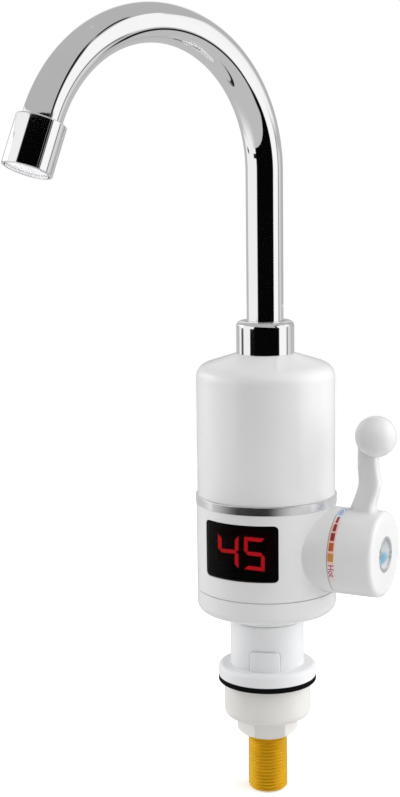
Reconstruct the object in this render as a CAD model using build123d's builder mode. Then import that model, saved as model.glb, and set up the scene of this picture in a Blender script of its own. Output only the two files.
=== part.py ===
"""Electric instant water heater tap, deck mounted, as an assembly of its separate pieces.

Millimetres, +Z up. The origin is on the body's axis, in the plane where the deck seal rests on the
worktop. The display faces -Y and the valve handle points to +X. Directions round the body are
given in degrees from -Y towards +X.
"""
from build123d import *
from math import cos, radians, sin, tan
import os

os.makedirs("parts", exist_ok=True)

# Fits between pieces
running_clearance = 0.05
thread_clearance = 0.1
moulding_clearance = 0.15
joint_gap = 0.3

# Inlet shank, with an outside pipe thread of size G 1/2
thread_radius = 20.955 / 2
shank_length = 60.0
shank_bore = 6.5
shank_chamfer = 1.0
shank_flange_thickness = 4.0
relief_depth = 0.9
relief_width = 1.5
relief_below_nut = 0.5
strainer_thickness = 1.5
strainer_recess = 2.0
strainer_hole = 0.6

# Deck seal, neck and flange
seal_radius = 26.0
seal_inner = 20.0
seal_thickness = 3.0
seal_lip_width = 2.7
seal_recess = 0.6
seal_rounding = 1.1
flange_radius = 25.8
flange_height = 6.8
flange_rounding = 2.4
neck_radius = 19.5
neck_length = 24.2
neck_wall = 2.4
neck_core_wall = 2.2
neck_rib = 1.6
neck_rib_count = 6
neck_roof = 4.0
arch_from = -3.6
arch_to = 43.3
arch_rise = 10.8
arch_relief = 1.0

# Clamp under the worktop
cup_radius = 23.0
cup_wall = 2.6
cup_floor = 3.0
cup_height = 19.0
cup_rounding = 4.0
nut_flats = 28.0
nut_height = 9.9
nut_chamfer_width = 3.0
nut_chamfer_height = 2.2
nut_turn = 32.0

# Body shells, outside, from the neck up
body_radius = 36.6
cap_step = 0.1
band_step = 0.3
upper_step = 0.6
shell_wall = 2.4
cap_height = 17.8
cap_slope = 22.0
cap_rounding = 5.0
lower_height = 45.45
band_height = 4.6
upper_height = 73.65
shoulder_slope = 18.0
shoulder_rounding = 7.5

# Joints between the shells
lip_height = 2.4
lip_wall = 1.2
spigot_height = 3.15
spigot_wall = 2.0
spigot_gap = 0.2

# Screws that hold the bottom cap
cap_screw_from_wall = 9.1
cap_screw_start = 100
cap_screw_count = 3
cap_screw_radius = 1.5
cap_screw_head_radius = 3.2
cap_screw_head_height = 2.4
cap_screw_length = 14.0
cap_screw_web = 6.8
cap_post_radius = 5.0
boss_radius = 3.5
boss_height = 8.2

# Display
window_width = 40.6
window_height = 29.6
window_rise = 25.7
window_corner = 2.4
lens_thickness = 2.0
lens_recess = 0.3
lens_rim = 1.5
lens_rim_thickness = 1.0
digit_width = 30.0
digit_height = 19.5
digit_depth = 6.4
digit_gap = 0.4
board_thickness = 1.6
board_height = 34.0

# Valve and its boss
valve_rise = 23.2
boss_outer = 22.2
boss_wall = 2.6
boss_reach = 6.1
boss_hollow = 18.0
barrel_radius = 14.0
barrel_back = 7.0
barrel_inset = 4.7
barrel_bore = 11.0
bore_floor = 8.0
leg_radius = 12.0
leg_wall = 3.0
leg_height = 15.6
leg_roof = 3.8
plug_groove_rise = 5.7
leg_neck_radius = 6.8
passage_radius = 5.0
hose_passage = 3.5
nipple_radius = 5.5
nipple_height = 23.0
disc_thickness = 3.0
disc_port = 2.6
disc_port_offset = 5.6
disc_lapping = 0.02
spindle_radius = 4.5
spindle_flat = 0.8
spindle_foot = 4.0
spindle_screw_gap = 2.0
cartridge_length = 14.0
cartridge_flats = 24.0
cartridge_flange = 3.0
cartridge_groove = 2.0
seal_wire = 0.8

# Handle
knob_length = 23.3
knob_wall = 2.2
knob_rounding = 2.7
knob_face = 6.3
knob_hub_radius = 8.0
knob_hub_recess = 2.0
index_radius = 9.2
index_depth = 3.5
index_rim = 1.6
index_dome = 30.0
index_rise = 0.4
handle_screw_radius = 2.0
handle_screw_head = 3.6
handle_screw_head_height = 2.2
handle_screw_depth = 8.0
ball_radius = 10.5
ball_inset = 5.5
ball_rise = 60.8
strip_inset = 0.2
strip_width = 3.6
strip_thickness = 0.2
strip_from = -33.0
strip_to = 95.0

# Cord entry at the back
entry_rise = 14.2
entry_hole = 5.5
entry_pad_radius = 8.8
entry_pad_rise = 0.8
grommet_flange = 8.0
grommet_lip = 1.2
grommet_bore = 3.75
grommet_flange_thickness = 2.2

# Flow switch on the valve's closed end
switch_radius = 13.0
switch_inner = 10.5
switch_housing_length = 5.0
switch_floor = 1.5
diaphragm_thickness = 0.8
cover_length = 6.7
cover_wall = 1.5
plunger_foot = 7.0
plunger_foot_thickness = 1.5
plunger_stem = 2.0
plunger_travel = 2.0
plunger_lift = 0.3
plunger_tip = 0.7
spring_radius = 4.4
spring_wire = 0.35
spring_turns = 3
micro_thickness = 6.5
micro_width = 10.0
micro_height = 20.0
arm_thickness = 2.0

# Heating chamber
base_thickness = 4.0
base_clearance = 0.3
chamber_gap = 6.3
chamber_wall = 2.5
chamber_flange = 3.0
chamber_headroom = 11.5
chamber_rounding = 2.5
chamber_screw_gap = 3.4
chamber_screw_count = 6
chamber_screw_radius = 1.4
chamber_screw_head = 2.5
chamber_screw_head_height = 1.8
chamber_seal_inset = 1.2
chamber_seal_wire = 0.7
element_radius = 3.2
element_spacing = 10.0
element_tail = 8.0
element_rise = 13.0
element_headroom = 19.0
hose_wall = 2.4
hose_spigot = 5.6
clip_wall = 0.8
clip_width = 4.0
clip_from_end = 2.5
probe_radius = 2.0
probe_reach = 22.0
probe_head = 4.5
probe_head_height = 4.0
probe_place = (13.3, -13.3)
cutout_radius = 5.5
cutout_height = 4.4
cutout_place = (-16.6, 9.6)
terminal_width = 24.0
terminal_height = 10.0
terminal_depth = 9.0
terminal_rise = 34.2
terminal_bore = 1.6

# Outlet, collar and spout
stub_radius = 13.0
stub_foot_radius = 9.9
stub_foot_length = 6.0
stub_hex = 24.0
stub_flange_height = 4.1
stub_flange_inset = 0.2
spout_bore = 5.4
socket_depth = 17.3
socket_radius = 8.45
collar_wall = 1.95
collar_height = 16.9
collar_lip = 2.8
collar_rounding = 2.0
spigot_length = 14.4
spigot_rise = 9.0
spigot_flange_inset = 0.6
spigot_flange_thickness = 2.0
spout_groove_depth = 1.5
spout_groove_width = 1.8
spout_groove_drops = (6.4, 11.4)
spout_radius = 9.5
spout_wall = 1.0
spout_rise = 76.1
spout_bend = 72.0
spout_sweep = 157.5
spout_tip = 7.0
spout_turn = -22.0
bush_thickness = 1.1

# Aerator on the spout's tip, measured along the tip
aerator_step = 1.1
aerator_wall = 1.4
aerator_start = 0.9
aerator_length = 24.0
aerator_rounding = 0.6
washer_thickness = 2.0
washer_width = 2.5
insert_recess = 1.2
insert_hole = 0.8
insert_pitch = 1.05
insert_hole_depth = 5.0

# Heights that follow from the sizes above, from the worktop up
shank_bottom = -shank_length
flange_top = seal_thickness + flange_height
neck_joint = flange_top + neck_length
neck_floor = neck_joint + shell_wall
shank_flange_top = neck_floor + shank_flange_thickness
cap_seam = neck_joint + cap_height
cap_screw_seat = cap_seam - lip_height - 0.6 - cap_screw_web
boss_bottom = cap_seam - lip_height - 0.6
boss_top = cap_seam + boss_height
valve_height = cap_seam + valve_rise
window_centre = cap_seam + window_rise
entry_height = cap_seam + entry_rise
terminal_centre = cap_seam + terminal_rise
leg_shoulder = shank_flange_top + leg_height
plug_groove = shank_flange_top + plug_groove_rise
nipple_top = valve_height + nipple_height
band_bottom = cap_seam + lower_height
band_top = band_bottom + band_height
spigot_top = band_top + spigot_height
base_top = spigot_top + base_thickness
shoulder_seat = band_top + upper_height
chamber_top = shoulder_seat - chamber_headroom
stub_seat = shoulder_seat - shell_wall
stub_hex_top = stub_seat - stub_flange_height
stub_foot = chamber_top - stub_foot_length
collar_top = shoulder_seat + collar_height
lip_floor = collar_top - collar_lip
bush_bottom = lip_floor - bush_thickness
flange_bottom = bush_bottom - 0.1 - spigot_flange_thickness
spout_foot = flange_bottom + spigot_flange_thickness
stub_top = flange_bottom - 0.1
stub_bore_floor = stub_top - socket_depth
spigot_bottom = flange_bottom - spigot_length
spout_straight_top = collar_top + spout_rise

# Heights of the clamp, below the worktop
cup_top = -joint_gap
cup_bottom = cup_top - cup_height
nut_top = cup_bottom - 0.1
nut_bottom = nut_top - nut_height
relief_top = nut_bottom - relief_below_nut

# Radii that follow from the sizes above
neck_bore = thread_radius + 0.4
shank_flange_radius = neck_radius - 1.0
leg_socket = leg_radius - leg_wall
shank_plug = leg_socket - thread_clearance
cap_radius = body_radius + cap_step
cap_inner = cap_radius - shell_wall
band_radius = body_radius + band_step
housing_inner = body_radius - shell_wall
upper_radius = body_radius - upper_step
upper_inner = upper_radius - shell_wall + spigot_gap
spigot_outer = upper_inner - spigot_gap
cap_screw_circle = body_radius - cap_screw_from_wall
base_radius = upper_inner - base_clearance
chamber_radius = upper_inner - chamber_gap
chamber_seal_radius = chamber_radius - chamber_seal_inset
chamber_screw_circle = upper_inner - chamber_screw_gap
collar_radius = stub_radius + running_clearance + collar_wall
stub_flange_radius = collar_radius + 1.0 - stub_flange_inset
spigot_flange_radius = stub_radius - spigot_flange_inset
aerator_bore = spout_radius + aerator_step
aerator_radius = aerator_bore + aerator_wall
spigot_radius = socket_radius - running_clearance
groove_radius = spigot_radius - spout_groove_depth

# Places along the valve and the handle, from the body's axis outwards
boss_end = body_radius + boss_reach
barrel_start = -barrel_back
barrel_end = boss_end - barrel_inset
moving_start = bore_floor + disc_thickness + disc_lapping
foot_start = moving_start + disc_thickness
foot_end = foot_start + spindle_foot
cartridge_start = barrel_end - cartridge_length
ring_x = cartridge_start + cartridge_groove
knob_start = boss_end + joint_gap
knob_end = knob_start + knob_length
knob_face_inner = knob_end - knob_face
knob_hub_start = knob_start + knob_hub_recess
spindle_end = knob_face_inner - spindle_screw_gap
index_floor = knob_end - index_depth
ball_x = knob_end - ball_inset
boss_cavity = barrel_end - boss_hollow
strip_start = knob_start + strip_inset

# Places along the flow switch, from the body's axis inwards
housing_end = barrel_start - switch_housing_length
diaphragm_end = housing_end - diaphragm_thickness
cover_end = diaphragm_end - cover_length
spring_back = cover_end + cover_wall
plunger_start = diaphragm_end - plunger_lift
foot_back = plunger_start - plunger_foot_thickness
tip_end = cover_end - plunger_tip
micro_start = tip_end - plunger_travel - 0.2

# Places of the display and the cord entry, along Y
lens_outer = body_radius - lens_recess
rim_outer = housing_inner - 0.1
lens_inner = lens_outer - lens_thickness
digit_front = (lens_inner**2 - (digit_width / 2) ** 2) ** 0.5 - digit_gap
board_front = digit_front - digit_depth
entry_pad_face = body_radius + entry_pad_rise
grommet_inner_face = housing_inner - 0.8

valve_axis = Axis((0, 0, valve_height), (1, 0, 0))
valve_plane = Plane(origin=(0, 0, valve_height), x_dir=(1, 0, 0), z_dir=(0, -1, 0))
spout_way = Vector(sin(radians(spout_turn)), -cos(radians(spout_turn)), 0)
spout_plane = Plane(origin=(0, 0, 0), x_dir=spout_way, z_dir=spout_way.cross(Vector(0, 0, 1)))


def rectangle(x_from, x_to, y_from, y_to, mode=Mode.ADD):
    """Draw a rectangle by its limits in the current sketch."""
    with Locations(((x_from + x_to) / 2, (y_from + y_to) / 2)):
        Rectangle(abs(x_to - x_from), abs(y_to - y_from), mode=mode)


def outline(*points):
    """Draw a closed straight-sided outline in the current sketch."""
    Polygon(*points, align=None)


def wire_ring(radius, wire, height):
    """Draw the round section of a sealing ring in the current sketch."""
    with Locations((radius, height)):
        Circle(wire)


# Deck seal: a rubber ring whose outer lip meets the worktop
with BuildPart() as deck_seal:
    with BuildSketch(Plane.XZ):
        rectangle(seal_inner, seal_radius, 0, seal_thickness)
        rectangle(seal_inner, seal_radius - seal_lip_width, 0, seal_recess, mode=Mode.SUBTRACT)
    revolve(axis=Axis.Z)
    rim = deck_seal.faces().filter_by(GeomType.CYLINDER).sort_by(SortBy.RADIUS)[-1]
    fillet(rim.edges().filter_by(GeomType.CIRCLE), seal_rounding)

# Neck: flange, tubular wall and inner core, joined by ribs that open downwards
with BuildPart() as arch_pad:
    arch_way = (arch_from + arch_to) / 2
    arch_half = neck_radius * sin(radians((arch_to - arch_from) / 2))
    arch_normal = (sin(radians(arch_way)), -cos(radians(arch_way)), 0)
    arch_side = (cos(radians(arch_way)), sin(radians(arch_way)), 0)
    with BuildSketch(Plane.XZ):
        rectangle(neck_radius - 1, neck_radius + arch_relief, flange_top - 1, flange_top + arch_rise)
    revolve(axis=Axis.Z)
    with BuildSketch(Plane(origin=(0, 0, flange_top), x_dir=arch_side, z_dir=arch_normal)):
        rectangle(-arch_half, arch_half, -1, arch_rise)
    extrude(amount=neck_radius + 2, mode=Mode.INTERSECT)
    arch_corners = arch_pad.edges().filter_by(GeomType.LINE).group_by(Axis.Z)[-1]
    fillet(arch_corners.filter_by(lambda e: e.length < 3), 3.0)

with BuildPart() as neck:
    with BuildSketch(Plane.XZ):
        rectangle(neck_bore, seal_inner - 0.2, seal_recess + 0.2, seal_thickness)
        rectangle(neck_bore, flange_radius, seal_thickness, flange_top)
        rectangle(neck_bore, neck_radius, flange_top, neck_joint - 0.1)
        rectangle(neck_bore, neck_radius - 3.0, neck_joint - 0.1, neck_floor)
    revolve(axis=Axis.Z)
    flange_edge = neck.edges().filter_by(GeomType.CIRCLE).filter_by(
        lambda e: abs(e.radius - flange_radius) < 0.01 and e.center().Z > flange_top - 0.1
    )
    fillet(flange_edge, flange_rounding)
    add(arch_pad.part)
    with BuildSketch(Plane.XY.offset(seal_recess)):
        Circle(neck_radius - neck_wall)
        Circle(neck_bore + neck_core_wall, mode=Mode.SUBTRACT)
        with PolarLocations(0, neck_rib_count):
            Rectangle(2 * neck_radius, neck_rib, mode=Mode.SUBTRACT)
    extrude(amount=neck_joint - seal_recess - neck_roof, mode=Mode.SUBTRACT)

# Inlet shank: brass tube with the pipe thread, a relief groove, a flange and a socket spigot
with BuildPart() as inlet_shank:
    with BuildSketch(Plane.XZ):
        rectangle(shank_bore, thread_radius, shank_bottom, neck_floor)
        rectangle(shank_bore, shank_flange_radius, neck_floor, shank_flange_top)
        rectangle(shank_bore, shank_plug, shank_flange_top, leg_shoulder - leg_roof - 0.2)
        rectangle(thread_radius - relief_depth, thread_radius, relief_top - relief_width, relief_top,
                  mode=Mode.SUBTRACT)
        rectangle(shank_plug - 1.5, shank_plug, plug_groove - 1.1, plug_groove + 1.1,
                  mode=Mode.SUBTRACT)
    revolve(axis=Axis.Z)
    shank_ends = inlet_shank.edges().filter_by(GeomType.CIRCLE).group_by(Axis.Z)[0]
    chamfer(shank_ends.sort_by(SortBy.RADIUS)[-1], shank_chamfer)
    with BuildSketch(Plane.XY.offset(shank_bottom)):
        Circle(shank_bore + 0.6)
    extrude(amount=strainer_recess, mode=Mode.SUBTRACT)

with BuildPart() as shank_o_ring:
    with BuildSketch(Plane.XZ):
        wire_ring(shank_plug - 0.65, 0.7, plug_groove)
    revolve(axis=Axis.Z)

with BuildPart() as inlet_strainer:
    with BuildSketch(Plane.XY.offset(shank_bottom + strainer_recess - strainer_thickness)):
        Circle(shank_bore + 0.5)
        with HexLocations(strainer_hole * 1.9, 5, 5):
            Circle(strainer_hole, mode=Mode.SUBTRACT)
    extrude(amount=strainer_thickness)

# Clamp cup and hexagon nut, drawn up against the seal
with BuildPart() as clamp_cup:
    with BuildSketch(Plane.XZ):
        rectangle(thread_radius + 0.5, cup_radius, cup_bottom, cup_top)
        rectangle(thread_radius + 0.5, cup_radius - cup_wall, cup_bottom + cup_floor, cup_top,
                  mode=Mode.SUBTRACT)
    revolve(axis=Axis.Z)
    cup_edges = clamp_cup.edges().filter_by(GeomType.CIRCLE).group_by(Axis.Z)[0]
    fillet(cup_edges.sort_by(SortBy.RADIUS)[-1], cup_rounding)

with BuildPart() as fixing_nut:
    with BuildSketch(Plane.XY.offset(nut_bottom)):
        RegularPolygon(nut_flats / 2, 6, major_radius=False, rotation=nut_turn)
        Circle(thread_radius + thread_clearance, mode=Mode.SUBTRACT)
    extrude(amount=nut_height)
    nut_corner = nut_flats / 2 / cos(radians(30))
    with BuildSketch(Plane.XZ):
        outline(
            (0, nut_bottom),
            (nut_corner - nut_chamfer_width, nut_bottom),
            (nut_corner, nut_bottom + nut_chamfer_height),
            (nut_corner, nut_top - 0.8),
            (nut_corner - 1.2, nut_top),
            (0, nut_top),
        )
    revolve(axis=Axis.Z, mode=Mode.INTERSECT)

# Bottom cap: a bowl that closes the body round the neck
cap_corner_z = neck_joint + (cap_radius - neck_radius) * tan(radians(cap_slope))
cap_inner_corner_z = neck_floor + (cap_inner - neck_radius) * tan(radians(cap_slope))
with BuildPart() as bottom_cap:
    with BuildSketch(Plane.XZ):
        outline(
            (neck_radius - 2.8, neck_joint + 0.1),
            (neck_radius, neck_joint + 0.1),
            (cap_radius, cap_corner_z),
            (cap_radius, cap_seam - 0.15),
            (0, cap_seam - 0.15),
            (0, neck_joint + 0.1),
        )
    revolve(axis=Axis.Z)
    cap_corner = bottom_cap.edges().filter_by(GeomType.CIRCLE).filter_by(
        lambda e: abs(e.center().Z - cap_corner_z) < 0.01
    )
    fillet(cap_corner, cap_rounding)
    with BuildSketch(Plane.XZ):
        outline(
            (0, neck_floor),
            (neck_radius, neck_floor),
            (cap_inner, cap_inner_corner_z),
            (cap_inner, cap_seam - lip_height - 0.1),
            (cap_inner + lip_wall, cap_seam - lip_height - 0.1),
            (cap_inner + lip_wall, cap_seam),
            (0, cap_seam),
        )
    revolve(axis=Axis.Z, mode=Mode.SUBTRACT)
    with BuildSketch(Plane.XY.offset(boss_bottom)):
        with PolarLocations(cap_screw_circle, cap_screw_count, start_angle=cap_screw_start):
            Circle(cap_post_radius)
    extrude(until=Until.NEXT, dir=(0, 0, -1))
    with BuildSketch(Plane.XY.offset(neck_joint)):
        with PolarLocations(cap_screw_circle, cap_screw_count, start_angle=cap_screw_start):
            Circle(cap_screw_head_radius + 0.4)
    extrude(amount=cap_screw_seat - neck_joint, mode=Mode.SUBTRACT)
    with BuildSketch(Plane.XY.offset(neck_joint)):
        with PolarLocations(cap_screw_circle, cap_screw_count, start_angle=cap_screw_start):
            Circle(cap_screw_radius + 0.3)
        Circle(neck_radius - 2.8)
    extrude(amount=boss_bottom - neck_joint, mode=Mode.SUBTRACT)

with BuildPart() as cap_screws:
    with BuildSketch(Plane.XY.offset(cap_screw_seat)):
        with PolarLocations(cap_screw_circle, cap_screw_count, start_angle=cap_screw_start):
            Circle(cap_screw_head_radius)
    extrude(amount=-cap_screw_head_height)
    chamfer(cap_screws.edges().group_by(Axis.Z)[0], 0.5)
    with BuildSketch(Plane.XY.offset(cap_screw_seat)):
        with PolarLocations(cap_screw_circle, cap_screw_count, start_angle=cap_screw_start):
            Circle(cap_screw_radius)
    extrude(amount=cap_screw_length)

# Lower housing: shell with display window, valve boss, cord entry and screw bosses
with BuildPart() as lower_housing:
    with BuildSketch(Plane.XZ):
        rectangle(0, body_radius, cap_seam + 0.15, band_bottom)
        rectangle(0, spigot_outer, band_bottom, spigot_top)
        rectangle(0, cap_inner + lip_wall - 0.1, cap_seam - lip_height, cap_seam + 0.15)
    revolve(axis=Axis.Z)
    with BuildSketch(Plane.YZ):
        with Locations((0, valve_height)):
            Circle(boss_outer)
    extrude(amount=boss_end)
    with BuildSketch(Plane.XZ):
        with Locations((0, entry_height)):
            Circle(entry_pad_radius)
    extrude(amount=-entry_pad_face)
    boss_rim = lower_housing.edges().filter_by(GeomType.CIRCLE).sort_by(Axis.X)[-1]
    fillet(boss_rim, 0.5)
    with BuildSketch(Plane.XZ):
        rectangle(0, housing_inner, cap_seam - lip_height, band_bottom - 2.0)
        rectangle(0, spigot_outer - spigot_wall, band_bottom - 2.0, spigot_top)
    revolve(axis=Axis.Z, mode=Mode.SUBTRACT)
    with BuildSketch(Plane.YZ.offset(boss_cavity)):
        with Locations((0, valve_height)):
            Circle(boss_outer - boss_wall)
    extrude(amount=boss_end, mode=Mode.SUBTRACT)
    with BuildSketch(Plane.XZ.offset(10)):
        with Locations((0, window_centre)):
            RectangleRounded(window_width, window_height, window_corner)
    extrude(amount=body_radius, mode=Mode.SUBTRACT)
    with BuildSketch(Plane.XZ.offset(-10)):
        with Locations((0, entry_height)):
            Circle(entry_hole)
    extrude(amount=-body_radius, mode=Mode.SUBTRACT)
    with BuildSketch(Plane.XY.offset(cap_seam + 0.15)):
        with PolarLocations(cap_screw_circle, cap_screw_count, start_angle=cap_screw_start):
            Circle(boss_radius)
            with Locations((boss_radius + 0.6, 0)):
                Rectangle(2 * boss_radius, 2.0)
    extrude(amount=boss_top - cap_seam - 0.15)
    with BuildSketch(Plane.XY.offset(boss_bottom)):
        with PolarLocations(cap_screw_circle, cap_screw_count, start_angle=cap_screw_start):
            Circle(boss_radius)
    extrude(amount=cap_seam + 0.15 - boss_bottom)
    with BuildSketch(Plane.XY.offset(boss_bottom)):
        with PolarLocations(cap_screw_circle, cap_screw_count, start_angle=cap_screw_start):
            Circle(cap_screw_radius + 0.1)
    extrude(amount=boss_top - boss_bottom - 1.5, mode=Mode.SUBTRACT)

# Trim ring between the two housings
with BuildPart() as trim_ring:
    with BuildSketch(Plane.XZ):
        rectangle(spigot_outer + 0.15, band_radius, band_bottom, band_top)
    revolve(axis=Axis.Z)
    band_wall = trim_ring.faces().filter_by(GeomType.CYLINDER).sort_by(SortBy.RADIUS)[-1]
    fillet(band_wall.edges().filter_by(GeomType.CIRCLE), 0.35)

# Upper housing: plain shell with a rounded, gently sloping shoulder
shoulder_corner_z = shoulder_seat - (upper_radius - collar_radius) * tan(radians(shoulder_slope))
inner_corner_z = stub_seat - (upper_inner - collar_radius - 1) * tan(radians(shoulder_slope))
with BuildPart() as upper_housing:
    with BuildSketch(Plane.XZ):
        outline(
            (0, band_top),
            (upper_radius, band_top),
            (upper_radius, shoulder_corner_z),
            (collar_radius, shoulder_seat),
            (0, shoulder_seat),
        )
    revolve(axis=Axis.Z)
    shoulder_edge = upper_housing.edges().filter_by(GeomType.CIRCLE).filter_by(
        lambda e: abs(e.center().Z - shoulder_corner_z) < 0.01
    )
    fillet(shoulder_edge, shoulder_rounding)
    with BuildSketch(Plane.XZ):
        outline(
            (0, band_top),
            (upper_inner, band_top),
            (upper_inner, inner_corner_z - 9.0),
            (upper_inner - 2.5, inner_corner_z - 3.0),
            (upper_inner - 8.5, inner_corner_z + 8.5 * tan(radians(shoulder_slope))),
            (collar_radius + 1, stub_seat),
            (0, stub_seat),
        )
    revolve(axis=Axis.Z, mode=Mode.SUBTRACT)
    with BuildSketch(Plane.XY.offset(stub_seat - 1)):
        Circle(stub_radius + moulding_clearance)
    extrude(amount=shell_wall + 2, mode=Mode.SUBTRACT)

# Display lens, digit module and board
with BuildPart() as lens_rim_ring:
    with BuildSketch(Plane.XZ):
        rectangle(rim_outer - lens_rim_thickness, rim_outer, window_centre - window_height,
                  window_centre + window_height)
    revolve(axis=Axis.Z)
    with BuildSketch(Plane.XZ.offset(10)):
        with Locations((0, window_centre)):
            RectangleRounded(window_width + 2 * lens_rim, window_height + 2 * lens_rim, window_corner)
            RectangleRounded(window_width - 2 * lens_rim, window_height - 2 * lens_rim, window_corner,
                             mode=Mode.SUBTRACT)
    extrude(amount=body_radius, mode=Mode.INTERSECT)

with BuildPart() as display_lens:
    with BuildSketch(Plane.XZ):
        rectangle(rim_outer - 0.3, lens_outer, window_centre - window_height,
                  window_centre + window_height)
    revolve(axis=Axis.Z)
    with BuildSketch(Plane.XZ.offset(10)):
        with Locations((0, window_centre)):
            RectangleRounded(window_width - 2 * moulding_clearance,
                             window_height - 2 * moulding_clearance, window_corner)
    extrude(amount=body_radius, mode=Mode.INTERSECT)
    add(lens_rim_ring.part)

with BuildPart() as control_board:
    board_half = (housing_inner**2 - board_front**2) ** 0.5 - joint_gap
    with BuildSketch(Plane.XZ.offset(board_front - board_thickness)):
        rectangle(-board_half, board_half, window_centre - board_height / 2,
                  window_centre + board_height / 2)
    extrude(amount=board_thickness)

with BuildPart() as digit_module:
    with BuildSketch(Plane.XZ.offset(board_front)):
        with Locations((0, window_centre)):
            Rectangle(digit_width, digit_height)
    extrude(amount=digit_depth)
    chamfer(digit_module.faces().sort_by(Axis.Y)[0].edges(), 0.4)

# Valve body: barrel across the housing, with an inlet leg below and a hose nipple above
with BuildPart() as valve_body:
    with BuildSketch(Plane.XZ):
        rectangle(0, leg_radius, shank_flange_top, leg_shoulder)
        rectangle(0, leg_neck_radius, leg_shoulder, valve_height)
        rectangle(0, nipple_radius, valve_height, nipple_top)
    revolve(axis=Axis.Z)
    with BuildSketch(Plane.YZ.offset(barrel_start)):
        with Locations((0, valve_height)):
            Circle(barrel_radius)
    extrude(amount=barrel_end - barrel_start)
    chamfer(valve_body.edges().filter_by(GeomType.CIRCLE).sort_by(Axis.X)[-1], 0.8)
    with BuildSketch(Plane.XZ):
        rectangle(0, leg_socket, shank_flange_top, leg_shoulder - leg_roof)
        rectangle(0, passage_radius, leg_shoulder - leg_roof, valve_height - 3)
        rectangle(0, hose_passage, valve_height + 3, nipple_top)
    revolve(axis=Axis.Z, mode=Mode.SUBTRACT)
    with BuildSketch(Plane.YZ.offset(bore_floor)):
        with Locations((0, valve_height)):
            Circle(barrel_bore)
    extrude(amount=barrel_end - bore_floor, mode=Mode.SUBTRACT)
    with BuildSketch(Plane.YZ.offset(-1)):
        with Locations((0, valve_height - disc_port_offset), (0, valve_height + disc_port_offset)):
            Circle(disc_port)
    extrude(amount=bore_floor + 1, mode=Mode.SUBTRACT)

with BuildPart() as fixed_disc:
    with BuildSketch(Plane.YZ.offset(bore_floor)):
        with Locations((0, valve_height)):
            Circle(barrel_bore - 0.05)
        with Locations((0, valve_height - disc_port_offset), (0, valve_height + disc_port_offset)):
            Circle(disc_port, mode=Mode.SUBTRACT)
    extrude(amount=disc_thickness)

with BuildPart() as moving_disc:
    with BuildSketch(Plane.YZ.offset(moving_start)):
        with Locations((0, valve_height)):
            Circle(barrel_bore - 0.1)
            SlotOverall(2 * (disc_port_offset + disc_port), 2 * disc_port, mode=Mode.SUBTRACT)
    extrude(amount=disc_thickness)

with BuildPart() as valve_spindle:
    with BuildSketch(Plane.YZ.offset(foot_start)):
        with Locations((0, valve_height)):
            Circle(barrel_bore - 0.1)
    extrude(amount=spindle_foot)
    with BuildSketch(Plane.YZ.offset(foot_end)):
        with Locations((0, valve_height)):
            Circle(spindle_radius)
    extrude(amount=spindle_end - foot_end)
    with BuildSketch(Plane.YZ.offset(knob_hub_start)):
        with Locations((0, valve_height)):
            Circle(spindle_radius)
            Rectangle(2 * spindle_radius, 2 * (spindle_radius - spindle_flat), mode=Mode.SUBTRACT)
    extrude(amount=spindle_end - knob_hub_start, mode=Mode.SUBTRACT)
    with BuildSketch(Plane.YZ.offset(spindle_end - handle_screw_depth)):
        with Locations((0, valve_height)):
            Circle(handle_screw_radius + 0.05)
    extrude(amount=handle_screw_depth, mode=Mode.SUBTRACT)

with BuildPart() as cartridge_nut:
    with BuildSketch(Plane.YZ.offset(cartridge_start)):
        with Locations((0, valve_height)):
            Circle(barrel_bore - 0.05)
    extrude(amount=barrel_end - cartridge_start)
    with BuildSketch(Plane.YZ.offset(barrel_end)):
        with Locations((0, valve_height)):
            RegularPolygon(cartridge_flats / 2, 6, major_radius=False)
    extrude(amount=cartridge_flange)
    with BuildSketch(valve_plane):
        rectangle(cartridge_start, barrel_end + cartridge_flange, 0,
                  spindle_radius + running_clearance)
        rectangle(ring_x - seal_wire, ring_x + seal_wire, 0, spindle_radius + 2 * seal_wire)
    revolve(axis=valve_axis, mode=Mode.SUBTRACT)

with BuildPart() as spindle_o_ring:
    with BuildSketch(valve_plane):
        with Locations((ring_x, spindle_radius + seal_wire)):
            Circle(seal_wire - 0.1)
    revolve(axis=valve_axis)

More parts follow.
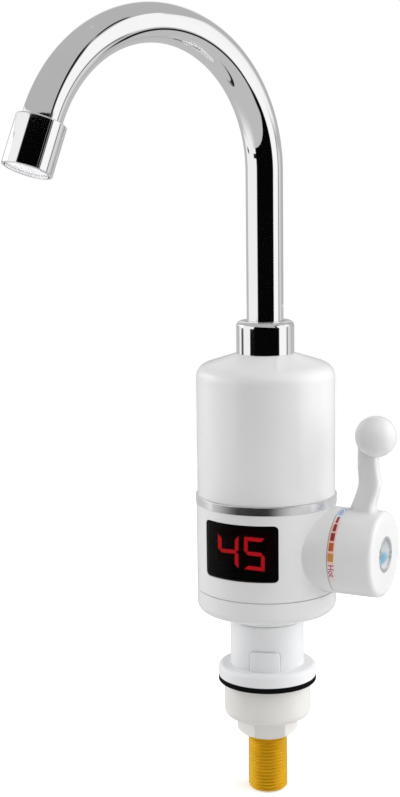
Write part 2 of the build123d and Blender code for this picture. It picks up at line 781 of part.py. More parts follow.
# Handle: hollow round knob with a curved stem and a ball, on the spindle
with BuildPart() as valve_handle:
    with BuildSketch(Plane.YZ.offset(knob_start)):
        with Locations((0, valve_height)):
            Circle(boss_outer)
    extrude(amount=knob_end - knob_start)
    knob_rims = valve_handle.edges().filter_by(GeomType.CIRCLE).sort_by(Axis.X)
    fillet(knob_rims[-1], knob_rounding)
    fillet(knob_rims[0], 0.5)
    stem_sections = (
        (boss_outer - 5.0, 12.3, 8.0, 6.6),
        (boss_outer + 1.6, 12.1, 5.9, 5.2),
        (boss_outer + 13.5, 9.4, 4.9, 4.5),
        (boss_outer + 23.0, 10.0, 4.6, 4.3),
        (boss_outer + 35.0, 10.1, 4.4, 4.2),
    )
    for rise, inset, half_along, half_across in stem_sections:
        with BuildSketch(Plane.XY.offset(valve_height + rise)):
            with Locations((knob_end - inset, 0)):
                Ellipse(half_along, half_across)
    loft()
    with Locations((ball_x, 0, valve_height + ball_rise)):
        Sphere(ball_radius)
    with BuildSketch(Plane.YZ.offset(knob_start)):
        with Locations((0, valve_height)):
            Circle(boss_outer - knob_wall)
            Circle(knob_hub_radius, mode=Mode.SUBTRACT)
    extrude(amount=knob_face_inner - knob_start, mode=Mode.SUBTRACT)
    with BuildSketch(Plane.YZ.offset(knob_start)):
        with Locations((0, valve_height)):
            Circle(knob_hub_radius)
    extrude(amount=knob_hub_start - knob_start, mode=Mode.SUBTRACT)
    with BuildSketch(Plane.YZ.offset(knob_hub_start)):
        with Locations((0, valve_height)):
            Circle(spindle_radius + 0.05)
            Rectangle(3 * spindle_radius, 2 * (spindle_radius + 0.05 - spindle_flat),
                      mode=Mode.INTERSECT)
    extrude(amount=spindle_end - knob_hub_start, mode=Mode.SUBTRACT)
    with BuildSketch(valve_plane):
        rectangle(spindle_end, knob_end, 0, handle_screw_radius + 0.2)
        rectangle(knob_face_inner + 0.2, knob_end, 0, handle_screw_head + 0.4)
        rectangle(knob_end - index_depth, knob_end + 1, 0, index_radius + 0.1)
    revolve(axis=valve_axis, mode=Mode.SUBTRACT)

with BuildPart() as handle_screw:
    with BuildSketch(valve_plane):
        rectangle(spindle_end - handle_screw_depth + 0.5, knob_face_inner + 0.2, 0,
                  handle_screw_radius)
        rectangle(knob_face_inner + 0.2, knob_face_inner + 0.2 + handle_screw_head_height, 0,
                  handle_screw_head)
    revolve(axis=valve_axis)

with BuildPart() as index_ring:
    with BuildSketch(valve_plane):
        rectangle(index_floor, knob_end + 0.3, index_radius - index_rim, index_radius)
    revolve(axis=valve_axis)
    ring_edges = index_ring.edges().filter_by(GeomType.CIRCLE).group_by(Axis.X)[-1]
    fillet(ring_edges, 0.5)

with BuildPart() as index_lens:
    with BuildSketch(valve_plane):
        rectangle(index_floor, knob_end + 1, 0, index_radius - index_rim - 0.05)
    revolve(axis=valve_axis)
    with Locations((knob_end + index_rise - index_dome, 0, valve_height)):
        Sphere(index_dome, mode=Mode.INTERSECT)

with BuildPart() as scale_strip:
    with BuildSketch(valve_plane.rotated((90 - strip_to, 0, 0))):
        rectangle(strip_start, strip_start + strip_width, boss_outer, boss_outer + strip_thickness)
    revolve(axis=valve_axis, revolution_arc=strip_to - strip_from)

# Cord entry grommet in the back of the lower housing
with BuildPart() as cord_grommet:
    with BuildSketch(Plane.XZ.offset(-entry_pad_face)):
        with Locations((0, entry_height)):
            Circle(grommet_flange)
    extrude(amount=-grommet_flange_thickness)
    with BuildSketch(Plane.XZ.offset(-grommet_inner_face)):
        with Locations((0, entry_height)):
            Circle(entry_hole - moulding_clearance)
    extrude(amount=grommet_inner_face - entry_pad_face)
    with BuildSketch(Plane.XZ.offset(-grommet_inner_face)):
        with Locations((0, entry_height)):
            Circle(entry_hole + grommet_lip)
    extrude(amount=grommet_flange_thickness)
    fillet(cord_grommet.edges().filter_by(GeomType.CIRCLE).sort_by(Axis.Y)[-1], 0.8)
    with BuildSketch(Plane.XZ):
        with Locations((0, entry_height)):
            Circle(grommet_bore)
    extrude(amount=-body_radius - 10, mode=Mode.SUBTRACT)

# Flow switch on the valve's closed end
with BuildPart() as switch_housing:
    with BuildSketch(valve_plane):
        rectangle(barrel_start, housing_end, 0, switch_radius)
        rectangle(barrel_start - switch_floor, housing_end, 0, switch_inner, mode=Mode.SUBTRACT)
    revolve(axis=valve_axis)

with BuildPart() as switch_diaphragm:
    with BuildSketch(valve_plane):
        rectangle(housing_end, diaphragm_end, 0, switch_radius)
    revolve(axis=valve_axis)

with BuildPart() as switch_cover:
    with BuildSketch(valve_plane):
        rectangle(diaphragm_end, cover_end, plunger_stem + running_clearance, switch_radius)
        rectangle(diaphragm_end, cover_end + cover_wall, 0, switch_inner, mode=Mode.SUBTRACT)
    revolve(axis=valve_axis)
    arm_gap = micro_height / 2 + 0.2
    with BuildSketch(Plane.YZ.offset(cover_end)):
        with Locations((0, valve_height + arm_gap + arm_thickness / 2),
                       (0, valve_height - arm_gap - arm_thickness / 2)):
            Rectangle(micro_width, arm_thickness)
    extrude(amount=micro_start - micro_thickness - cover_end)

with BuildPart() as switch_plunger:
    with BuildSketch(valve_plane):
        rectangle(plunger_start, foot_back, 0, plunger_foot)
        rectangle(foot_back, tip_end, 0, plunger_stem)
    revolve(axis=valve_axis)

with BuildPart() as switch_spring:
    spring_length = foot_back - spring_back - 2 * spring_wire - 0.1
    with BuildLine() as coil:
        Helix(spring_length / spring_turns, spring_length, spring_radius,
              center=(spring_back + spring_wire + 0.05, 0, valve_height), direction=(1, 0, 0))
    with BuildSketch(Plane(origin=coil.line @ 0, z_dir=coil.line % 0)):
        Circle(spring_wire)
    sweep(path=coil.line)

with BuildPart() as micro_switch:
    with BuildSketch(Plane.YZ.offset(micro_start)):
        with Locations((0, valve_height)):
            Rectangle(micro_width, micro_height)
    extrude(amount=-micro_thickness)
    chamfer(micro_switch.edges().filter_by(Axis.X), 0.5)

# Terminal block on the back wall
with BuildPart() as terminal_block:
    terminal_back = (housing_inner**2 - (terminal_width / 2) ** 2) ** 0.5 - joint_gap
    with BuildSketch(Plane.XZ.offset(-terminal_back)):
        with Locations((0, terminal_centre)):
            Rectangle(terminal_width, terminal_height)
            with GridLocations(terminal_width / 3, 1, 3, 1):
                Circle(terminal_bore, mode=Mode.SUBTRACT)
    extrude(amount=terminal_depth)

# Hose from the valve to the chamber, and its clips
hose_bottom = valve_height + barrel_radius + 0.6
hose_top = spigot_top - 0.3
with BuildPart() as transfer_hose:
    with BuildSketch(Plane.XY.offset(hose_bottom)):
        Circle(nipple_radius + hose_wall)
        Circle(nipple_radius + 0.05, mode=Mode.SUBTRACT)
    extrude(amount=hose_top - hose_bottom)

with BuildPart() as hose_clips:
    clip_inner = nipple_radius + hose_wall + 0.05
    for clip_bottom in (hose_bottom + clip_from_end, hose_top - clip_from_end - clip_width):
        with BuildSketch(Plane.XY.offset(clip_bottom)):
            Circle(clip_inner + clip_wall)
            Circle(clip_inner, mode=Mode.SUBTRACT)
        extrude(amount=clip_width)

# Chamber base, seal, chamber and screws
element_places = [(element_spacing * n, 0) for n in (-1.5, 1.5)]
with BuildPart() as chamber_base:
    with BuildSketch(Plane.XZ):
        rectangle(0, base_radius, spigot_top, base_top)
        rectangle(0, nipple_radius, spigot_top - hose_spigot, spigot_top)
        rectangle(chamber_seal_radius - 1.0, chamber_seal_radius + 1.0,
                  base_top - 2 * chamber_seal_wire, base_top, mode=Mode.SUBTRACT)
    revolve(axis=Axis.Z)
    with BuildSketch(Plane.XY.offset(spigot_top - hose_spigot)):
        Circle(hose_passage)
        with Locations(*element_places):
            Circle(element_radius + 0.1)
    extrude(amount=base_thickness + hose_spigot, mode=Mode.SUBTRACT)
    with BuildSketch(Plane.XY.offset(spigot_top)):
        with PolarLocations(chamber_screw_circle, chamber_screw_count):
            Circle(chamber_screw_radius + 0.1)
    extrude(amount=base_thickness, mode=Mode.SUBTRACT)

with BuildPart() as chamber_seal:
    with BuildSketch(Plane.XZ):
        wire_ring(chamber_seal_radius, chamber_seal_wire, base_top - chamber_seal_wire)
    revolve(axis=Axis.Z)

with BuildPart() as heating_chamber:
    with BuildSketch(Plane.XZ):
        rectangle(0, base_radius, base_top, base_top + chamber_flange)
        rectangle(0, chamber_radius, base_top, chamber_top)
    revolve(axis=Axis.Z)
    fillet(heating_chamber.edges().filter_by(GeomType.CIRCLE).sort_by(Axis.Z)[-1], chamber_rounding)
    with BuildSketch(Plane.XZ):
        rectangle(0, chamber_radius - chamber_wall, base_top, chamber_top - chamber_wall)
        rectangle(0, stub_foot_radius + thread_clearance, base_top, chamber_top)
    revolve(axis=Axis.Z, mode=Mode.SUBTRACT)
    with BuildSketch(Plane.XY.offset(base_top)):
        with PolarLocations(chamber_screw_circle, chamber_screw_count):
            Circle(chamber_screw_radius + 0.2)
    extrude(amount=chamber_flange, mode=Mode.SUBTRACT)
    with BuildSketch(Plane.XY.offset(chamber_top - chamber_wall - 1)):
        with Locations(probe_place):
            Circle(probe_radius + 0.1)
    extrude(amount=chamber_wall + 2, mode=Mode.SUBTRACT)

with BuildPart() as chamber_screws:
    with BuildSketch(Plane.XY.offset(base_top + chamber_flange)):
        with PolarLocations(chamber_screw_circle, chamber_screw_count):
            Circle(chamber_screw_head)
    extrude(amount=chamber_screw_head_height)
    with BuildSketch(Plane.XY.offset(spigot_top + 0.3)):
        with PolarLocations(chamber_screw_circle, chamber_screw_count):
            Circle(chamber_screw_radius)
    extrude(amount=base_thickness + chamber_flange - 0.3)

# Heating element: one tube bent up, down, up and down again
with BuildPart() as heating_element:
    left = -1.5 * element_spacing
    bend = element_spacing / 2
    element_bottom = spigot_top - element_tail
    element_low = base_top + element_rise
    element_high = chamber_top - element_headroom
    with BuildLine(Plane.XZ) as element_path:
        Line((left, element_bottom), (left, element_high))
        ThreePointArc((left, element_high), (left + bend, element_high + bend),
                      (left + 2 * bend, element_high))
        Line((left + 2 * bend, element_high), (left + 2 * bend, element_low))
        ThreePointArc((left + 2 * bend, element_low), (0, element_low - bend), (bend, element_low))
        Line((bend, element_low), (bend, element_high))
        ThreePointArc((bend, element_high), (2 * bend, element_high + bend), (3 * bend, element_high))
        Line((3 * bend, element_high), (3 * bend, element_bottom))
    with BuildSketch(Plane.XY.offset(element_bottom)):
        with Locations((left, 0)):
            Circle(element_radius)
    sweep(path=element_path.wires()[0])

# Temperature probe and thermal cut-out on the chamber
with BuildPart() as temperature_probe:
    with BuildSketch(Plane.XY.offset(chamber_top)):
        with Locations(probe_place):
            RegularPolygon(probe_head, 6)
    extrude(amount=probe_head_height)
    with BuildSketch(Plane.XY.offset(chamber_top)):
        with Locations(probe_place):
            Circle(probe_radius)
    extrude(amount=-probe_reach)

with BuildPart() as thermal_cutout:
    with BuildSketch(Plane.XY.offset(chamber_top)):
        with Locations(cutout_place):
            Circle(cutout_radius)
    extrude(amount=cutout_height)
    chamfer(thermal_cutout.edges().group_by(Axis.Z)[-1], 0.6)

# Outlet stub that carries the upper housing and the collar
with BuildPart() as outlet_stub:
    with BuildSketch(Plane.XY.offset(chamber_top)):
        RegularPolygon(stub_hex / 2, 6, major_radius=False)
    extrude(amount=stub_hex_top - chamber_top)
    with BuildSketch(Plane.XY.offset(stub_hex_top)):
        Circle(stub_flange_radius)
    extrude(amount=stub_seat - stub_hex_top)
    with BuildSketch(Plane.XY.offset(stub_foot)):
        Circle(stub_foot_radius)
    extrude(amount=chamber_top - stub_foot)
    with BuildSketch(Plane.XY.offset(stub_seat)):
        Circle(stub_radius)
    extrude(amount=stub_top - stub_seat)
    with BuildSketch(Plane.XZ):
        rectangle(0, spout_bore, stub_foot, stub_bore_floor)
        rectangle(0, socket_radius, stub_bore_floor, stub_top)
    revolve(axis=Axis.Z, mode=Mode.SUBTRACT)

# Collar nut: round chromed nut with a lip that holds the spout in
with BuildPart() as collar_nut:
    with BuildSketch(Plane.XZ):
        rectangle(stub_radius + running_clearance, collar_radius, shoulder_seat, lip_floor)
        rectangle(spout_radius + joint_gap, collar_radius, lip_floor, collar_top)
    revolve(axis=Axis.Z)
    collar_top_edges = collar_nut.edges().filter_by(GeomType.CIRCLE).group_by(Axis.Z)[-1]
    fillet(collar_top_edges.sort_by(SortBy.RADIUS)[-1], collar_rounding)

with BuildPart() as spout_bush:
    with BuildSketch(Plane.XZ):
        rectangle(spout_radius + 0.2, stub_radius - 0.05, bush_bottom, lip_floor)
    revolve(axis=Axis.Z)

# Spout spigot with two sealing rings, turning in the stub
with BuildPart() as spout_spigot:
    with BuildSketch(Plane.XZ):
        rectangle(spout_bore, spigot_radius, spigot_bottom, flange_bottom)
        rectangle(spout_bore, spigot_flange_radius, flange_bottom, spout_foot)
        rectangle(spout_bore, spout_radius - spout_wall - 0.05, spout_foot, spout_foot + spigot_rise)
        for drop in spout_groove_drops:
            rectangle(groove_radius, socket_radius, flange_bottom - drop - spout_groove_width / 2,
                      flange_bottom - drop + spout_groove_width / 2, mode=Mode.SUBTRACT)
    revolve(axis=Axis.Z)

with BuildPart() as spout_o_rings:
    with BuildSketch(Plane.XZ):
        for drop in spout_groove_drops:
            wire_ring(groove_radius + 0.7, 0.68, flange_bottom - drop)
    revolve(axis=Axis.Z)

# Gooseneck spout: one bent tube from the collar to the aerator
sweep_angle = radians(spout_sweep)
bend_end = (spout_bend * (1 - cos(sweep_angle)), spout_straight_top + spout_bend * sin(sweep_angle))
tip_way = (sin(sweep_angle), cos(sweep_angle))
tip_point = (bend_end[0] + spout_tip * tip_way[0], bend_end[1] + spout_tip * tip_way[1])
bend_top = (spout_bend * (1 - cos(sweep_angle / 2)),
            spout_straight_top + spout_bend * sin(sweep_angle / 2))
with BuildPart() as spout_tube:
    with BuildLine(spout_plane) as spout_path:
        Line((0, spout_foot), (0, spout_straight_top))
        ThreePointArc((0, spout_straight_top), bend_top, bend_end)
        Line(bend_end, tip_point)
    with BuildSketch(Plane.XY.offset(spout_foot)):
        Circle(spout_radius)
        Circle(spout_radius - spout_wall, mode=Mode.SUBTRACT)
    sweep(path=spout_path.wires()[0])

# Aerator: housing, washer and honeycomb insert along the spout's tip
tip_origin = spout_plane.from_local_coords(Vector(bend_end[0], bend_end[1], 0))
tip_direction = spout_way * tip_way[0] + Vector(0, 0, 1) * tip_way[1]
tip_axis = Axis(tip_origin, tip_direction)
tip_side = tip_direction.cross(spout_plane.z_dir)
tip_plane = Plane(origin=tip_origin, x_dir=tip_side, z_dir=tip_side.cross(tip_direction))
aerator_end = aerator_start + aerator_length
with BuildPart() as aerator_housing:
    with BuildSketch(tip_plane):
        rectangle(spout_radius + 0.05, aerator_radius, aerator_start, spout_tip)
        rectangle(aerator_bore, aerator_radius, spout_tip, aerator_end)
    revolve(axis=tip_axis)
    aerator_rims = aerator_housing.edges().filter_by(GeomType.CIRCLE).filter_by(
        lambda e: abs(e.radius - aerator_radius) < 0.01
    )
    fillet(aerator_rims, aerator_rounding)

with BuildPart() as aerator_washer:
    with BuildSketch(tip_plane):
        rectangle(spout_radius - washer_width, aerator_bore - 0.1, spout_tip, spout_tip + washer_thickness)
    revolve(axis=tip_axis)

with BuildPart() as aerator_insert:
    insert_end = aerator_end - insert_recess
    with BuildSketch(tip_plane):
        rectangle(0, aerator_bore - 0.1, spout_tip + washer_thickness, insert_end)
    revolve(axis=tip_axis)
    with BuildSketch(Plane(origin=tip_origin + tip_direction * insert_end, x_dir=tip_side,
                           z_dir=tip_direction * -1)):
        with HexLocations(insert_pitch, 7, 7):
            RegularPolygon(insert_hole, 6)
    extrude(amount=insert_hole_depth, mode=Mode.SUBTRACT)

pieces = {
    "deck_seal": deck_seal,
    "neck": neck,
    "inlet_shank": inlet_shank,
    "shank_o_ring": shank_o_ring,
    "inlet_strainer": inlet_strainer,
    "clamp_cup": clamp_cup,
    "fixing_nut": fixing_nut,
    "bottom_cap": bottom_cap,
    "cap_screws": cap_screws,
    "lower_housing": lower_housing,
    "trim_ring": trim_ring,
    "upper_housing": upper_housing,
    "display_lens": display_lens,
    "digit_module": digit_module,
    "control_board": control_board,
    "valve_body": valve_body,
    "fixed_disc": fixed_disc,
    "moving_disc": moving_disc,
    "valve_spindle": valve_spindle,
    "cartridge_nut": cartridge_nut,
    "spindle_o_ring": spindle_o_ring,
    "valve_handle": valve_handle,
    "handle_screw": handle_screw,
    "index_ring": index_ring,
    "index_lens": index_lens,
    "scale_strip": scale_strip,
    "cord_grommet": cord_grommet,
    "switch_housing": switch_housing,
    "switch_diaphragm": switch_diaphragm,
    "switch_cover": switch_cover,
    "switch_plunger": switch_plunger,
    "switch_spring": switch_spring,
    "micro_switch": micro_switch,
    "terminal_block": terminal_block,
    "transfer_hose": transfer_hose,
    "hose_clips": hose_clips,
    "chamber_base": chamber_base,
    "chamber_seal": chamber_seal,
    "heating_chamber": heating_chamber,
    "chamber_screws": chamber_screws,
    "heating_element": heating_element,
    "temperature_probe": temperature_probe,
    "thermal_cutout": thermal_cutout,
    "outlet_stub": outlet_stub,
    "collar_nut": collar_nut,
    "spout_bush": spout_bush,
    "spout_spigot": spout_spigot,
    "spout_o_rings": spout_o_rings,
    "spout_tube": spout_tube,
    "aerator_housing": aerator_housing,
    "aerator_washer": aerator_washer,
    "aerator_insert": aerator_insert,
}
for name, piece in pieces.items():
    piece.part.label = name
    export_step(piece.part, f"parts/{name}.step")
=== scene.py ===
"""Dress the electric instant water heater tap and set it in a plain studio.

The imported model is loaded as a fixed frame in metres. The pieces that show are rebuilt here with
finer shapes, the rest keep their frame shapes, and every piece gets a procedural finish.
The sub-assemblies' sizes are in millimetres, as in the part's source, and the studio's in metres.
"""
import logging
import math
from collections.abc import Iterable, Sequence
from dataclasses import dataclass, field
from enum import Enum

import bmesh
import bpy
from mathutils import Matrix, Vector


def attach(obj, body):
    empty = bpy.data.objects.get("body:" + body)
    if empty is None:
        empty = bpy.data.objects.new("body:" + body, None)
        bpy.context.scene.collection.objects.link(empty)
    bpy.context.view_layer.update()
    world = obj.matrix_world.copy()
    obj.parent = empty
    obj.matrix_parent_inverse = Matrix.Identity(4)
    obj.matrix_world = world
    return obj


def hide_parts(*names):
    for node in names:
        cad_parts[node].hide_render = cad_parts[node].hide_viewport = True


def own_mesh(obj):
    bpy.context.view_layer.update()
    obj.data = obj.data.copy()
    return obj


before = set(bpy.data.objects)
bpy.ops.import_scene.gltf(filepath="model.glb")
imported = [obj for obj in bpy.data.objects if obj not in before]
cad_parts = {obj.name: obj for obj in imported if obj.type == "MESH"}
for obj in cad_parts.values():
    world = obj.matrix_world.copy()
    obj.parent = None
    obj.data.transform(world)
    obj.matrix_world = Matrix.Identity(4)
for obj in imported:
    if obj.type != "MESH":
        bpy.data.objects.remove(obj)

LOG = logging.getLogger("tap")
MM = 0.001
WHOLE_TURN = 2 * math.pi
DEGREE = math.radians(1.0)
SAME_POINT = 0.0001

Colour = tuple[float, float, float]
Scale = tuple[float, float, float]
Place = tuple[float, float]
Corners = Sequence[tuple[float, ...]]
Drawn = bmesh.types.BMesh
Socket = bpy.types.NodeSocket


# Shapes


UPRIGHT = Matrix.Identity(4)


def facing(along: Vector, across: Vector, origin: Sequence[float]) -> Matrix:
    """Give the place of a shape drawn round its own Z axis.

    Args:
        along: Where the shape's Z axis points.
        across: Where its X axis points.
        origin: Where its origin lies.

    Returns:
        The matrix that puts it there.
    """
    along, across = Vector(along), Vector(across)
    turn = Matrix((across, along.cross(across), along)).transposed().to_4x4()
    return Matrix.Translation(origin) @ turn


VALVE_HEIGHT = 75.0
ENTRY_HEIGHT = 66.0
VALVE = facing((1, 0, 0), (0, 0, 1), (0, 0, VALVE_HEIGHT))
FRONT = facing((0, -1, 0), (1, 0, 0), (0, 0, 0))
BACK = facing((0, 1, 0), (1, 0, 0), (0, 0, ENTRY_HEIGHT))
FROM_FRONT = Matrix.Rotation(-math.pi / 2, 4, "Z")


class Joining(Enum):
    """How one solid meets another."""

    FUSE = "UNION"
    CUT = "DIFFERENCE"
    SHARE = "INTERSECT"


FUSE, CUT, SHARE = Joining


def rounded(corners: Corners, fineness: float = 8.0) -> list[Vector]:
    """Round an outline's corners.

    Args:
        corners: Each corner's two coordinates, and its rounding where it has one.
        fineness: The steps that a corner rounded by 1 mm takes.

    Returns:
        The outline's points.
    """
    points = []
    for back, here, ahead in zip(corners[-1:] + corners, corners, corners[1:] + corners[:1]):
        corner = Vector(here[:2])
        if len(here) < 3 or not here[2]:
            points.append(corner)
            continue
        one = (Vector(back[:2]) - corner).normalized()
        two = (Vector(ahead[:2]) - corner).normalized()
        half = one.angle(two) / 2
        middle = corner + (one + two).normalized() * here[2] / math.sin(half)
        start = corner + one * here[2] / math.tan(half) - middle
        end = corner + two * here[2] / math.tan(half) - middle
        swing = math.pi - 2 * half
        steps = max(3, round(fineness * math.sqrt(here[2])))
        for k in range(steps + 1):
            before, after = math.sin(swing * (1 - k / steps)), math.sin(swing * k / steps)
            points.append(middle + (start * before + end * after) / math.sin(swing))
    return points


def skin(rings: Sequence[Sequence[Vector]], closed: bool = False) -> Drawn:
    """Join rings of points, one after another, into a closed surface.

    Args:
        rings: The rings. A ring of one point is a tip.
        closed: Whether the last ring joins the first, instead of both being filled.

    Returns:
        The surface.
    """
    mesh = bmesh.new()
    rows = [[mesh.verts.new(point) for point in ring] for ring in rings]
    if not closed:
        for row in (rows[0], rows[-1]):
            if len(row) > 2:
                mesh.faces.new(row)
    for lower, upper in zip(rows, rows[1:] + (rows[:1] if closed else [])):
        for k in range(max(len(lower), len(upper))):
            corners = dict.fromkeys((lower[k % len(lower)], lower[(k + 1) % len(lower)],
                                     upper[(k + 1) % len(upper)], upper[k % len(upper)]))
            if len(corners) > 2:
                mesh.faces.new(tuple(corners))
    bmesh.ops.recalc_face_normals(mesh, faces=mesh.faces)
    return mesh


def turns(steps: int) -> list[float]:
    """Give the angles of equal steps round a whole turn."""
    return [WHOLE_TURN * k / steps for k in range(steps)]


def soft_foot(steps: int) -> list[Place]:
    """Give how far a rounded foot still spreads and has risen at each step, as shares."""
    angles = (math.pi / 2 * k / steps for k in range(1, steps + 1))
    return [(1 - math.sin(a), 1 - math.cos(a)) for a in angles]


def ring(reach: float, height: float, steps: int) -> list[Vector]:
    """Give the points of a circle round the Z axis, or its centre where it has no size.

    Args:
        reach: The circle's radius.
        height: Its height.
        steps: How many points it has.

    Returns:
        The points.
    """
    if reach < 1e-6:
        return [Vector((0.0, 0.0, height))]
    return [Vector((reach * math.cos(a), reach * math.sin(a), height)) for a in turns(steps)]


def lathe(corners: Corners, steps: int = 192, fineness: float = 8.0) -> Drawn:
    """Turn a profile of radii and heights round the Z axis."""
    return skin([ring(p.x, p.y, steps) for p in rounded(corners, fineness)], closed=True)


def tube(inner: float, outer: float, low: float, high: float, lower: float = 0.0,
         upper: float = 0.0) -> Corners:
    """Give the profile of a plain ring, with its outer edges rounded by lower and upper."""
    return [(inner, low), (outer, low, lower), (outer, high, upper), (inner, high)]


def prism(outline: Iterable[Vector], low: float, high: float) -> Drawn:
    """Raise an outline into a straight solid from one height to another."""
    points = list(outline)
    return skin([[Vector((p.x, p.y, z)) for p in points] for z in (low, high)])


def block(wide: float, high: float, corner: float = 0.0,
          middle: Place = (0.0, 0.0)) -> list[Vector]:
    """Draw a rectangle round its middle, with its corners rounded."""
    ends = ((-1, -1), (1, -1), (1, 1), (-1, 1))
    return rounded([(middle[0] + x * wide / 2, middle[1] + y * high / 2, corner)
                    for x, y in ends])


def stored(name: str, mesh: Drawn) -> bpy.types.Mesh:
    """Keep a drawn mesh as data of that name.

    Args:
        name: The data's name.
        mesh: The mesh, used up here.

    Returns:
        The data.
    """
    data = bpy.data.meshes.new(name)
    mesh.to_mesh(data)
    mesh.free()
    return data


def linked(name: str, data: bpy.types.ID | None) -> bpy.types.Object:
    """Put data in the scene as an object.

    Args:
        name: The object's name.
        data: Its data.

    Returns:
        The object.
    """
    thing = bpy.data.objects.new(name, data)
    bpy.context.scene.collection.objects.link(thing)
    return thing


def merged(meshes: Iterable[Drawn]) -> Drawn:
    """Put several solids into one mesh.

    Args:
        meshes: The solids, used up here.

    Returns:
        All of them together.
    """
    whole = bmesh.new()
    for mesh in meshes:
        data = stored("pattern", mesh)
        whole.from_mesh(data)
        bpy.data.meshes.remove(data)
    return whole


def repeated(mesh: Drawn, places: Iterable[Matrix]) -> Drawn:
    """Copy one solid to several places.

    Args:
        mesh: The solid, used up here.
        places: The places of the copies.

    Returns:
        All the copies together.
    """
    copies = []
    for place in places:
        copies.append(mesh.copy())
        copies[-1].transform(place)
    mesh.free()
    return merged(copies)


def wrapped(mesh: Drawn, radius: float, step: float = 0.4) -> Drawn:
    """Bend a flat plate round the Z axis: its X goes round, its Y along and its Z outwards.

    Args:
        mesh: The plate.
        radius: The radius where its Z is 0.
        step: How far apart the bends are.

    Returns:
        The same plate, bent.
    """
    bmesh.ops.triangulate(mesh, faces=mesh.faces)
    places = [vertex.co.x for vertex in mesh.verts]
    for k in range(math.ceil(min(places) / step), math.floor(max(places) / step) + 1):
        everything = [*mesh.verts, *mesh.edges, *mesh.faces]
        bmesh.ops.bisect_plane(mesh, geom=everything, plane_co=(k * step, 0, 0),
                               plane_no=(1, 0, 0), dist=SAME_POINT)
    for vertex in mesh.verts:
        turn, reach = vertex.co.x / radius, radius + vertex.co.z
        vertex.co = (reach * math.cos(turn), reach * math.sin(turn), vertex.co.y)
    return mesh


def lettered(words: str, size: float, thick: float, weight: float = 0.0) -> Drawn:
    """Cut plain letters out of a thin plate.

    Args:
        words: The words.
        size: The height of a line.
        thick: How far the letters stand out.
        weight: How much wider each stroke is drawn.

    Returns:
        The letters, lying flat and centred on the origin.
    """
    curve = bpy.data.curves.new("letters", "FONT")
    curve.body, curve.size, curve.extrude, curve.offset = words, size, thick, weight
    curve.align_x, curve.align_y, curve.resolution_u = "CENTER", "CENTER", 4
    holder = linked("letters", curve)
    graph = bpy.context.evaluated_depsgraph_get()
    data = bpy.data.meshes.new_from_object(holder.evaluated_get(graph))
    mesh = bmesh.new()
    mesh.from_mesh(data)
    bmesh.ops.remove_doubles(mesh, verts=mesh.verts, dist=SAME_POINT)
    bpy.data.objects.remove(holder)
    bpy.data.curves.remove(curve)
    bpy.data.meshes.remove(data)
    return mesh


def between(rows: Sequence[Sequence[float]], height: float) -> list[float]:
    """Read a table of sizes between its rows, along smooth curves.

    Args:
        rows: The rows, each with its height first, from the lowest up.
        height: The height to read at.

    Returns:
        The sizes there.
    """
    i = max(k for k in range(len(rows) - 1) if k == 0 or rows[k][0] <= height)
    low, high = rows[i], rows[i + 1]
    before, after = rows[max(i - 1, 0)], rows[min(i + 2, len(rows) - 1)]
    gap = high[0] - low[0]
    t = (height - low[0]) / gap
    found = []
    for a, b, c, d in zip(before[1:], low[1:], high[1:], after[1:]):
        start = gap * (c - a) / (high[0] - before[0])
        end = gap * (d - b) / (after[0] - low[0])
        found.append(b * (2 * t**3 - 3 * t**2 + 1) + c * (3 * t**2 - 2 * t**3)
                     + start * (t**3 - 2 * t**2 + t) + end * (t**3 - t**2))
    return found


